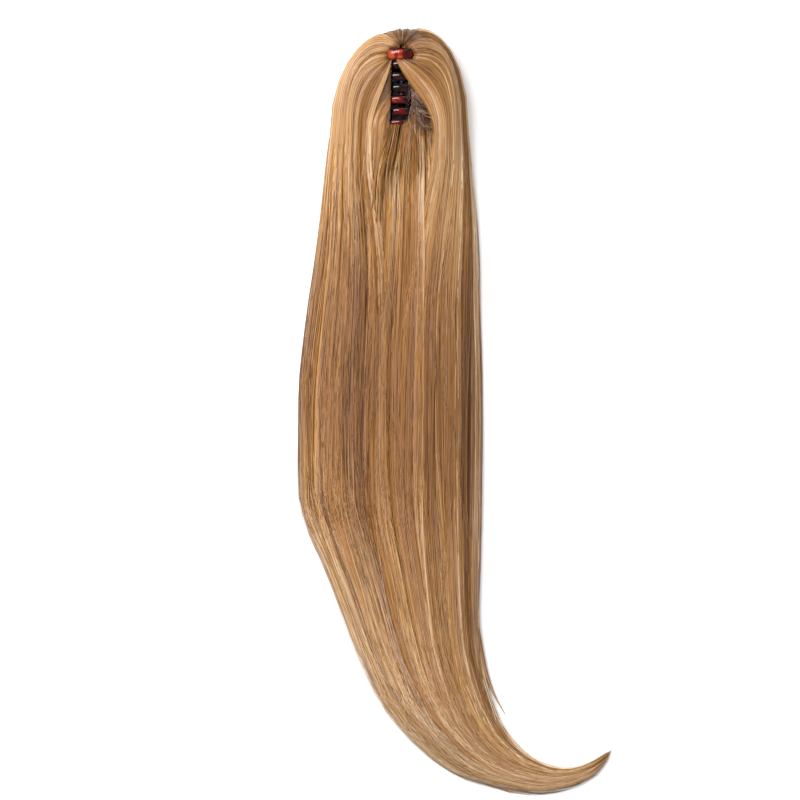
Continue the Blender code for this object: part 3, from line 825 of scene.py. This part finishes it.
def curtain(rng, side, locks, count, crown_points=11, tail_points=16):
    """Strands of one side: fan over the crown, then down the tail, spreading inwards under the V.

    The locks along the V are lighter: golden on the right, ash blond on the left.
    """
    traits = lock_traits(rng, locks, 0.3)
    centre = (np.arange(locks) + rng.uniform(0, 1, locks)) / locks
    traits["tone"][:4] = 0.14
    traits["gold"][:4] = 0.25 if side > 0 else 0.0
    aim, spread = CURTAIN_LANES
    add_streaks(traits, lane_of(side * (aim + spread * centre)))
    lock, across = members(rng, locks, count)
    first = share_of(np.array(FANS[side]["edge"]))
    t = even_row(crown_points) ** 1.2
    half = traits["width"][lock][:, None] / (1 - first)
    sway = traits["drift"][lock][:, None] * np.sin(t * 3 + traits["phase"][lock][:, None]) * t
    w = centre[lock][:, None] + across[:, None] * half * (0.5 + 0.5 * t) + 0.6 * sway
    w = np.clip(w + rng.normal(0, 0.012, (count, 1)), 0, 1)
    t = np.broadcast_to(t, w.shape)
    depth = 0.55 * traits["depth"][lock][:, None] + 0.5 * across[:, None] ** 2
    depth = depth + rng.uniform(0, 0.7, (count, 1)) + 0 * w
    crown = crown_point(side, w, t, depth)
    start = side * (first + (1 - first) * w[:, -1])
    target = side * (aim + spread * centre[lock])
    begin = np.zeros(count)
    places, lanes, depths = tail_run(rng, traits, lock, across, start, target, begin, tail_points, 5.5)
    depths = depth[:, -1:] + (depths - depth[:, -1:]) * smooth(places / 2)
    paths = np.concatenate([crown[:, :-1], tail_point(places, lanes, depths)], axis=1)
    places = np.concatenate([(t[:, :-1] - 1) * 3, places], axis=1)
    lanes = np.concatenate([np.repeat(lanes[:, :1], crown_points - 1, axis=1), lanes], axis=1)
    return paths, colours(rng, places, lanes, traits, lock, 0.22, 0.07)


def middle(rng, locks, count, points=19):
    """Strands rooted in a slanted row under the claw's lower end, which rise to the tail's top."""
    traits = lock_traits(rng, locks, 0.3)
    low, width = MIDDLE_LANES
    centre = low + width * (np.arange(locks) + rng.uniform(0, 1, locks)) / locks
    add_streaks(traits, centre)
    lock, across = members(rng, locks, count)
    first = (share_of(np.abs(centre)) * np.sign(centre))[lock]
    begin = np.zeros(count)
    places, lanes, depths = tail_run(rng, traits, lock, across, first, first * 0.9, begin, points, 3.0)
    paths = tail_point(places, lanes, depths)
    along_row = (centre[lock] - low) / width
    root_x = AXIS_X + MIDDLE_X[0] + MIDDLE_X[1] * along_row + rng.normal(0, 0.7, count)
    root_y = MIDDLE_Y[0] + MIDDLE_Y[1] * smooth((along_row - 0.3) / 0.5) + rng.normal(0, 1.0, count)
    over_weft = 28.8 + 15.6 * np.sqrt(np.clip(1 - ((root_x - AXIS_X) / 16.6) ** 2, 0, 1))
    below_weft = 32.0 + 6.0 * (1 - along_row) ** 2
    root_z = np.where(root_y > 204.6, over_weft, below_weft) + rng.uniform(-0.5, 0.8, count)
    gather = (1 - smooth(places / 1.6))[..., None]
    later = 2.2 * (1 - smooth(along_row / 0.4))[:, None]
    rise = rng.uniform(1.0, 1.8, (count, 1)) + later * rng.random((count, 1))
    paths[:, :, :2] += (side_by_side(root_x, root_y)[:, None] - paths[:, :1, :2]) * gather
    paths[:, :, 2] = root_z[:, None] + (paths[:, :, 2] - root_z[:, None]) * smooth(places / rise)
    return paths, colours(rng, places, lanes, traits, lock, 0.6, 0.09)


def tail_fill(rng, locks, count, points=14):
    """Locks that come up from inside the tail further down, and give it fresh layers."""
    traits = lock_traits(rng, locks, 0.45)
    centre = -1 + 2 * (np.arange(locks) + rng.uniform(0, 1, locks)) / locks
    add_streaks(traits, lane_of(centre))
    lock, across = members(rng, locks, count)
    starts = rng.uniform(0.8, 13.0, locks)[lock] + rng.uniform(0, 1.5, count)
    share = centre[lock]
    places, lanes, depths = tail_run(rng, traits, lock, across, share, share, starts, points, 0.5)
    depths = depths + 4.0 * (1 - smooth((places - starts[:, None]) / 2.5))
    return tail_point(places, lanes, depths), colours(rng, places, lanes, traits, lock, 0.1, 0.1)


def under_claw(rng, count, points=18):
    """Second layer on the left: rooted down the claw's left side, running under the curtain.

    The first half of a strand is a cubic Bezier from its root to its lane in the tail.
    """
    locks = 14
    traits = lock_traits(rng, locks, 0.0)
    golden = np.exp(-(((np.arange(locks) + 0.5) / locks - 0.62) / 0.12) ** 2)
    traits["tone"] += 0.12 * golden - 0.1
    traits["gold"] += 0.4 * golden
    lock, across = members(rng, locks, count)
    share = (lock + rng.uniform(0, 1, count)) / locks
    t = even_row(points)
    root_x = AXIS_X - 7.4 - 0.8 * share + rng.normal(0, 0.3, count)
    root = side_by_side(root_x, 249.0 - 43.0 * share, 42.2 + rng.uniform(-0.5, 0.3, count))
    places = np.clip(t - 0.5, 0, 0.5) * 2 * (2.5 + 6.0 * rng.random((count, 1)))
    lanes = (-0.54 + 0.4 * share**1.2 + rng.normal(0, 0.02, count))[:, None] * np.ones_like(places)
    run = tail_point(places, lanes, 0.9 + 2.2 * t + rng.normal(0, 0.3, (count, 1)))
    s = np.clip(t / 0.5, 0, 1)[..., None]
    span = np.linalg.norm(root - run[:, 0], axis=1)[:, None, None]
    set_out = root[:, None] + np.array([-0.5, -0.86, 0.1]) * 0.35 * span
    land = run[:, :1] + np.array([0.0, 1.0, 0.0]) * 0.4 * span
    curve = bezier(root[:, None], set_out, land, run[:, :1], s)
    paths = np.where(t[..., None] < 0.5, curve, run)
    return paths, colours(rng, places - 1, lanes, traits, lock, 0.62, 0.36)


def top_point(share, t, depth):
    """Points of the tuft at the head end: it fans from the root over the edge, and folds under.

    The key points of a strand are its root, two on the dome, the outline, the floor below it
    and a tuck under the crown, joined by a Catmull-Rom curve; depth moves them inwards.
    """
    front_x, front_y, bend = TUFT_EDGE
    out_x = TUFT_EDGE_X[0] - TUFT_EDGE_X[1] * share
    out_y = front_y - bend * (out_x - front_x) ** 2
    root_x = AXIS_X + TUFT_ROOT_X[0] - TUFT_ROOT_X[1] * share
    keys = []
    for spread, reach, back, z in TUFT_KEYS:
        x = root_x + (out_x - root_x) * spread
        y = TUFT_ROOT_Y + (out_y - TUFT_ROOT_Y) * reach - back
        keys.append(side_by_side(x, y, z))
    rows = np.stack(keys)
    places = np.clip(t, 0, 1) * (len(keys) - 1)
    points = np.stack([curve_at(rows[:, strand], places[strand]) for strand in range(len(share))])
    inward = np.array(TUFT_HEART) - points
    points = points + unit(inward) * depth[..., None]
    points[..., 2] = np.maximum(points[..., 2], 0.8)
    return points


def top_tuft(rng, low, high, count, points=12):
    """Strands of the tuft between two shares, from the right (0) to the left (1)."""
    traits = lock_traits(rng, TUFT_LOCKS, 0.0)
    lock, across = members(rng, TUFT_LOCKS, count)
    share = low + (high - low) * (lock + 0.5 + 0.6 * across) / TUFT_LOCKS
    t = even_row(points) * np.ones((count, 1))
    flank = 1.6 * np.abs(2 * share - 1)[:, None] ** 3
    depth = traits["depth"][lock][:, None] * 0.6 + rng.uniform(-0.3, 0.5, (count, 1))
    depth = depth + flank + np.zeros_like(t)
    paths = top_point(np.clip(share, low, high), t, depth)
    places = -3.0 + t
    lanes = np.zeros_like(t)
    traits["tone"] = 0.8 * traits["tone"] - 0.18
    return paths, colours(rng, places, lanes, traits, lock, 0.3, 0.5)


def tuft_core():
    """Closed pad under the tuft (rows x points x 3, mm): out at one depth and back at a deeper one."""
    share = np.linspace(1, 0, 25)
    t = np.linspace(0.14, 1, 24)[None, :] * np.ones((len(share), 1))
    outer = top_point(share, t, np.full_like(t, PAD_DEPTHS[0]))
    inner = top_point(share, t[:, ::-1], np.full_like(t, PAD_DEPTHS[1]))
    lanes = side_by_side(60 * share[:, None], 60 * t, 0.0)
    return np.concatenate([outer, inner], axis=1), np.concatenate([lanes, lanes[:, ::-1]], axis=1)


def root_fuzz(rng, count, points=7):
    """Short frizzed strands on the weft right of the claw, which lie in all downward directions."""
    t = even_row(points)[..., None]
    share = rng.random(count)
    out = 7.2 + 7.0 * rng.random(count) ** 1.5
    root = side_by_side(AXIS_X + out, 246.0 - 39.0 * share, 42.0 - 0.07 * (out - 7.2) ** 2)
    angle = np.radians(rng.normal(-58, 28, count))
    length = rng.uniform(6, 15, count)[:, None, None]
    ahead = side_by_side(np.cos(angle), np.sin(angle), rng.normal(-0.1, 0.1, count))[:, None]
    curl = rng.normal(0, 1.1, (count, 1, 3)) * np.sin(t * rng.uniform(3, 8, (count, 1, 1)))
    paths = root[:, None] + ahead * length * t + curl * t
    tone = np.clip(rng.normal(0.26, 0.28, (count, 1)) + 0.1 * t[..., 0], 0, 0.9)
    return paths, side_by_side(tone, 0.05, 0.75)


def loose_lock(rng, path, width, depth, count, points=14):
    """Strands of one loose lock, spread over an ellipse that closes to nothing at its tip."""
    keys = np.array(path, float)
    ends = 1 - np.abs(rng.normal(0, 0.12, count))
    t = even_row(points) * np.clip(ends, 0.5, 1)[:, None]
    line = curve_at(keys, t * (len(keys) - 1))
    heading = unit(np.gradient(line, axis=1))
    sideways = side_by_side(-heading[..., 1], heading[..., 0])
    around, out = rng.uniform(0, 2 * np.pi, (count, 1)), np.sqrt(rng.random((count, 1)))
    close = (1 - smooth(t) * 0.93) * out
    plan = line + sideways * (np.cos(around) * close * width / 2)[..., None]
    z = 0.6 + depth / 2 * (1 - 0.8 * t) + np.sin(around) * close * depth / 2
    paths = np.concatenate([plan, np.maximum(z, 0.5)[..., None]], axis=-1)
    tone = np.clip(rng.normal(0.6, 0.15, (count, 1)) + np.zeros_like(t), 0, 1)
    gold = np.clip(rng.normal(0.15, 0.15, (count, 1)) + np.zeros_like(t), 0, 0.8)
    return paths, side_by_side(tone, gold, 0.95)


def tip_fringe(rng, count, points=12):
    """Ends that leave the lower edge of the tip one after another, like a worn brush."""
    starts = rng.uniform(16.0, 20.5, count)
    ends = starts + rng.uniform(2.2, 4.0, count)
    ends = np.minimum(ends, LAST - 0.05)
    t = even_row(points)
    places = starts[:, None] + (ends - starts)[:, None] * t
    first = rng.uniform(-1.0, 0.2, (count, 1))
    lanes = first - rng.uniform(-0.1, 0.5, (count, 1)) * t**2
    paths = tail_point(places, np.maximum(lanes, -1.35), 0.0)
    tone, gold = tone_at(places, np.clip(lanes, -1, 1))
    tone = np.clip(tone + rng.normal(0, 0.15, (count, 1)), 0, 1)
    return paths, side_by_side(tone, gold, 1.0)


def flyaways(rng, count, points=18):
    """Single strands that stand off the tail's surface and wander across the locks."""
    starts = rng.uniform(0, 12, count)
    ends = np.minimum(starts + rng.uniform(6, 14, count), LAST - 0.3)
    t = even_row(points)
    places = starts[:, None] + (ends - starts)[:, None] * t
    share = rng.uniform(-1, 1, count)
    share = np.where(rng.random(count) < 0.4, np.sign(share), share)[:, None]
    wander = rng.normal(0, 0.1, (count, 1)) * np.sin(np.pi * t * rng.uniform(0.5, 2, (count, 1)))
    lanes = lane_of(np.clip(share + wander, -1, 1))
    lift = rng.uniform(0.2, 1.6, (count, 1)) * np.sin(np.pi * t)
    paths = tail_point(places, lanes, -lift)
    tone, gold = tone_at(places, lanes)
    tone = np.clip(tone + rng.normal(0.12, 0.15, (count, 1)), 0, 1)
    return paths, side_by_side(tone, gold, 0.9)


class HAIRPIECE_OT_stage(bpy.types.Operator):
    """Pale floor, soft light and a camera that looks straight down"""

    bl_idname = "hairpiece.stage"
    bl_label = "Stage"

    def execute(self, context):
        settings = context.scene.hairpiece_stage
        bpy.ops.mesh.primitive_plane_add(size=8)
        floor = context.object
        floor.name = "studio_floor"
        material, _, shader = new_material("matt_paper_floor")
        set_inputs(shader, base_color=rgba(settings.floor), roughness=0.9)
        floor.data.materials.append(material)
        world = bpy.data.worlds.new("even_sky")
        world.use_nodes = True
        set_inputs(world.node_tree.nodes["Background"], color=(1, 1, 1, 1), strength=settings.sky)
        context.scene.world = world
        self.lamp("key_light", (-0.75, 0.6, 1.25), settings.key, 1.0, 0.32)
        self.lamp("head_light", (0.35, 1.1, 0.8), settings.rim, 0.5, 0.5)
        camera_data = bpy.data.cameras.new("overhead")
        camera_data.sensor_width = SENSOR
        camera_data.lens = SENSOR * CAMERA_HEIGHT / (PHOTO_MM * PHOTO_PIXELS)
        camera = bpy.data.objects.new("overhead", camera_data)
        camera.location = (CAMERA_PLACE[0] * MM, CAMERA_PLACE[1] * MM, (CAMERA_HEIGHT + CAMERA_FOCUS_Z) * MM)
        context.scene.collection.objects.link(camera)
        context.scene.camera = camera
        context.scene.view_settings.view_transform = "Standard"
        return {"FINISHED"}

    def lamp(self, name, place, power, width, height):
        """An area light that faces the middle of the hairpiece, with its width along x."""
        light = bpy.data.lights.new(name, "AREA")
        light.energy = power
        light.shape = "RECTANGLE"
        light.size = width
        light.size_y = height
        lamp = bpy.data.objects.new(name, light)
        back = Vector(place).normalized()
        wide = (Vector((1, 0, 0)) - back * back.x).normalized()
        turn = Matrix((wide, back.cross(wide), back)).transposed()
        lamp.matrix_world = Matrix.Translation(place) @ turn.to_4x4()
        bpy.context.scene.collection.objects.link(lamp)


def tooth_rings(number):
    """Rings of one tooth (rings x points x 3, mm), a rounded bar swept over the jaw's ellipse, and the
    distance of each point from the bar's middle line.

    The section is a superellipse |a|^p + |b|^p = 1, p = TOOTH_POWER, of the tooth's width and thickness, and
    shrinks by the root of a half circle over the last part of the sweep, so that the tip is round.
    """
    y, width, _ = TEETH[number]
    side = -1 if number % 2 == 0 else 1
    low, high = TOOTH_ANGLES[min(number, 1)]
    sweep = 1 - (1 - np.linspace(0, 1, 26)) ** 1.4
    angle = np.radians(low + (high - low) * sweep)[:, None]
    around = np.linspace(0, 2 * np.pi, 36, endpoint=False)[None, :]
    power = 2 / TOOTH_POWER
    across = np.sign(np.cos(around)) * np.abs(np.cos(around)) ** power
    out = np.sign(np.sin(around)) * np.abs(np.sin(around)) ** power
    last = TOOTH_TIPS[min(number, 1)]
    close = np.sqrt(np.clip(1 - np.clip((sweep[:, None] - 1 + last) / last, 0, 0.998) ** 2, 0, 1))
    radial = (out * close - 1) * TOOTH_THICKNESS / 2
    x = AXIS_X + side * np.cos(angle) * (TOOTH_RADII[0] + radial)
    z = TOOTH_CENTRE_Z + np.sin(angle) * (TOOTH_RADII[1] + radial)
    return side_by_side(x, y + across * close * width / 2, z), np.abs(across) + 0 * z


class HAIRPIECE_OT_claw(bpy.types.Operator):
    """Plastic of the jaws with their rounded teeth, steel of the pin and spring"""

    bl_idname = "hairpiece.claw"
    bl_label = "Claw"

    def execute(self, context):
        settings = context.scene.hairpiece_claw
        plastic = claw_material(settings)
        steel = steel_material(settings)
        for name in ("jaw_left", "jaw_right"):
            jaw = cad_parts[name]
            jaw.material_slots[0].material = plastic
            weld = jaw.modifiers.new("weld", "WELD")
            weld.merge_threshold = 0.00001
            bevel = jaw.modifiers.new("bevel", "BEVEL")
            bevel.width = 0.6 * MM
            bevel.segments = 2
            bevel.angle_limit = math.radians(50)
        for name in ("hinge_pin", "torsion_spring"):
            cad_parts[name].material_slots[0].material = steel
        for number, (_, _, patch_and_painted_light) in enumerate(TEETH):
            rings, rim = tooth_rings(number)
            # The tooth's patch is brightened on its left, painted light from the side the key light comes
            # from, and darkened at its edges, painted shade.
            leftness = smooth((AXIS_X + 2.4 - rings[..., 0]) / 2.0)
            patch = patch_and_painted_light * (0.4 + 0.6 * leftness) * (1 - 0.8 * rim**4)
            lit = side_by_side(patch, leftness, rim)
            turn = 1 if number % 2 == 0 else -1
            name = f"tooth_{number + 1}"
            tooth = grid_piece(name, rings[::turn], "patch_and_painted_light", lit[::turn], wrap=True, capped=True)
            tooth.data.materials.append(plastic)
            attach(tooth, LEFT_BODY if number % 2 == 0 else RIGHT_BODY)
        return {"FINISHED"}


def weft_band(side, rows=122, front=46, back=10):
    """Closed band round one jaw (rows x points x 3, mm), with rows of lockstitch raised on its face.

    Front and back are ellipses at the wall's and the gap's distance from the jaw.  A row of
    stitches adds a ridge exp(-(a / SEAM_HALF_WIDTH)^2) that rises and falls as |sin| along the band.
    """
    y = np.linspace(*WEFT_Y, rows)[:, None]
    face = np.linspace(*WEFT_ANGLES, front)
    ridge = sum(np.exp(-(((face - seam) / SEAM_HALF_WIDTH) ** 2)) for seam in WEFT_SEAMS)
    stitch = 0.35 + 0.65 * np.abs(np.sin(np.pi * y / WEFT_STITCH))
    raised = WEFT_WALL + SEAM_HEIGHT * ridge * stitch
    grow = WEFT_GAP + np.concatenate([raised, np.zeros((rows, back))], axis=1)
    angle = np.radians(np.concatenate([face, np.linspace(*WEFT_ANGLES[::-1], back)]))
    x = AXIS_X + side * (JAW_RADII[0] + grow) * np.cos(angle)
    z = TOOTH_CENTRE_Z + (JAW_RADII[1] + grow) * np.sin(angle)
    ring = side_by_side(x, y, z)
    values = side_by_side(np.degrees(angle), y, grow - WEFT_GAP - WEFT_WALL)
    return ring[:, ::-side], values[:, ::-side]


class HAIRPIECE_OT_wefts(bpy.types.Operator):
    """Sewn bands of roots on the jaws"""

    bl_idname = "hairpiece.wefts"
    bl_label = "Wefts"

    def execute(self, context):
        material = weft_material(context.scene.hairpiece_claw)
        for side, name, body in ((-1, "weft_left", LEFT_BODY), (1, "weft_right", RIGHT_BODY)):
            band, values = weft_band(side)
            weft = grid_piece(f"sewn_{name}", band, "stitch", values, wrap=True, capped=True)
            weft.data.materials.append(material)
            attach(weft, body)
            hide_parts(name)
        return {"FINISHED"}


class HAIRPIECE_OT_under_layers(bpy.types.Operator):
    """Closed layers under the strands: a mantle over each side of the crown and the tail's two bodies"""

    bl_idname = "hairpiece.under_layers"
    bl_label = "Under-layers"

    def execute(self, context):
        material = under_material(context.scene.hairpiece_hair)
        for side, name, body in ((-1, "mantle_left", LEFT_BODY), (1, "mantle_right", RIGHT_BODY)):
            mantle = self.mantle(name, side)
            self.dress(mantle, material)
            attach(mantle, body)
            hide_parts("hair_crown_left" if side < 0 else "hair_crown_right")
        left = self.tail_body("tail_body_left", -1)
        right = self.tail_body("tail_body_right", 1)
        self.dress(left, material)
        self.dress(right, material)
        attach(left, LEFT_BODY)
        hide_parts("hair_tail")
        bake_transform(right)
        return {"FINISHED"}

    def dress(self, piece, material):
        """Material and slot of an under-layer."""
        piece.data.materials.append(material)

    def mantle(self, name, side):
        """Crown surface MANTLE_DEPTH under the strands, with a wall of 2 mm."""
        w, t = np.meshgrid(np.linspace(0, 1, 41), np.linspace(0, 1, 33), indexing="ij")
        points = crown_point(side, w, t, MANTLE_DEPTH)
        lanes = side_by_side(side * (30 + 70 * w), 90 * t, 0.0)
        # The rows' order keeps the wall on the inner side.
        mantle = grid_piece(name, points[::-side], "lane", lanes[::-side])
        wall = mantle.modifiers.new("wall", "SOLIDIFY")
        wall.thickness = 2 * MM
        wall.offset = -1
        return mantle

    def tail_body(self, name, side):
        """Left or right part of the tail, TAIL_BODY_DEPTH under the strands, closed and flat below.

        The parts meet on a lane that starts at the V's right edge and drifts to the crest.
        """
        places = np.linspace(0.02, LAST - 1.6, 90)[:, None]
        split = 0.5 - 0.4 * smooth(places / 5)
        share = even_row(40)
        start = share_of(split)
        lanes = lane_of(start + (side - start) * share)
        under_mouth = smooth((lanes + 0.46) / 0.12) * smooth((0.58 - lanes) / 0.12)
        dip = 11.0 * (1 - smooth(places / 1.3)) * under_mouth
        top = tail_point(places, lanes, TAIL_BODY_DEPTH)
        top[..., 2] -= dip
        foot = top[:, :1].copy()
        foot[:, :, 2] = FLOOR_CLEARANCE
        ring = np.concatenate([top, foot], axis=1)
        across = np.concatenate([lanes * 60, lanes[:, :1] * 60], axis=1)
        streaks = side_by_side(across, places * 24, 0.0)
        return grid_piece(name, ring[:, ::-side], "lane", streaks[:, ::-side], wrap=True, capped=True)


class HAIRPIECE_OT_curtains(bpy.types.Operator):
    """Strands that fan over each side of the crown and run down the tail"""

    bl_idname = "hairpiece.curtains"
    bl_label = "Curtains"

    def execute(self, context):
        hair = context.scene.hairpiece_hair
        material = strand_material(hair)
        rng = np.random.default_rng(hair.seed)
        left = make_pieces("curtain_left", 2, rng, *curtain(rng, -1, 62, 1900), hair, material)
        right = make_pieces("curtain_right", 2, rng, *curtain(rng, 1, 54, 1650), hair, material)
        for piece in left:
            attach(piece, LEFT_BODY)
        for piece in right:
            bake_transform(piece)
        return {"FINISHED"}


class HAIRPIECE_OT_head_end(bpy.types.Operator):
    """Tuft over the head end and short roots beside the claw"""

    bl_idname = "hairpiece.head_end"
    bl_label = "Head end"

    def execute(self, context):
        hair = context.scene.hairpiece_hair
        material = strand_material(hair)
        rng = np.random.default_rng(hair.seed + 2)
        for name, low, high in (("tuft_right", 0.0, TUFT_PARTING), ("tuft_left", TUFT_PARTING, 1.0)):
            for piece in make_pieces(name, 1, rng, *top_tuft(rng, low, high, 150), hair, material):
                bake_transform(piece)
        core, lanes = tuft_core()
        pad = grid_piece("tuft_core", core, "lane", lanes, wrap=True, capped=True)
        pad.data.materials.append(under_material(hair))
        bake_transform(pad)
        for piece in make_pieces("roots_left", 1, rng, *under_claw(rng, 400), hair, material):
            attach(piece, LEFT_BODY)
        for piece in make_pieces("roots_right", 1, rng, *root_fuzz(rng, 260), hair, material, 0.45):
            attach(piece, RIGHT_BODY)
        return {"FINISHED"}


class HAIRPIECE_OT_tail(bpy.types.Operator):
    """Hair from under the claw's lower end, fresh layers of the tail, loose locks and flyaways"""

    bl_idname = "hairpiece.tail"
    bl_label = "Tail"

    def execute(self, context):
        hair = context.scene.hairpiece_hair
        material = strand_material(hair)
        rng = np.random.default_rng(hair.seed + 1)
        pieces = two_sided("middle", rng, *middle(rng, 30, 950), hair, material)
        pieces += make_pieces("tail_fill", 1, rng, *tail_fill(rng, 60, 1400), hair, material)
        pieces += two_sided("flyaways", rng, *flyaways(rng, 90), hair, material, 0.5)
        pieces += make_pieces("tip_fringe", 1, rng, *tip_fringe(rng, 260), hair, material, 0.7)
        for name, (path, width, depth) in LOOSE_LOCKS.items():
            lock = loose_lock(rng, path, width, depth, 60)
            pieces += make_pieces(name, 1, rng, *lock, hair, material, 0.75)
        for piece in pieces:
            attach(piece, LEFT_BODY)
        return {"FINISHED"}


class HAIRPIECE_PT_panel(bpy.types.Panel):
    """Lists the pieces that this file makes"""

    bl_label = "Ponytail Hairpiece"
    bl_idname = "HAIRPIECE_PT_panel"
    bl_space_type = "VIEW_3D"
    bl_region_type = "UI"
    bl_category = "Hairpiece"

    def draw(self, context):
        for settings in SETTINGS:
            group = getattr(context.scene, settings)
            for name in group.__annotations__:
                self.layout.prop(group, name)
        for operator in OPERATORS:
            self.layout.operator(operator.bl_idname)


SETTINGS = {"hairpiece_hair": HairSettings, "hairpiece_claw": ClawSettings, "hairpiece_stage": StageSettings}
OPERATORS = (
    HAIRPIECE_OT_stage,
    HAIRPIECE_OT_claw,
    HAIRPIECE_OT_wefts,
    HAIRPIECE_OT_under_layers,
    HAIRPIECE_OT_curtains,
    HAIRPIECE_OT_head_end,
    HAIRPIECE_OT_tail,
)


def register():
    """Register the settings, operators and panel."""
    for name, group in SETTINGS.items():
        bpy.utils.register_class(group)
        setattr(bpy.types.Scene, name, bpy.props.PointerProperty(type=group))
    for made in (*OPERATORS, HAIRPIECE_PT_panel):
        bpy.utils.register_class(made)


def unregister():
    """Take them out again."""
    for made in (HAIRPIECE_PT_panel, *reversed(OPERATORS)):
        bpy.utils.unregister_class(made)
    for name, group in SETTINGS.items():
        delattr(bpy.types.Scene, name)
        bpy.utils.unregister_class(group)


def main():
    """Make every piece in order."""
    register()
    for operator in OPERATORS:
        group, name = operator.bl_idname.split(".")
        getattr(getattr(bpy.ops, group), name)()


if __name__ == "__main__":
    main()
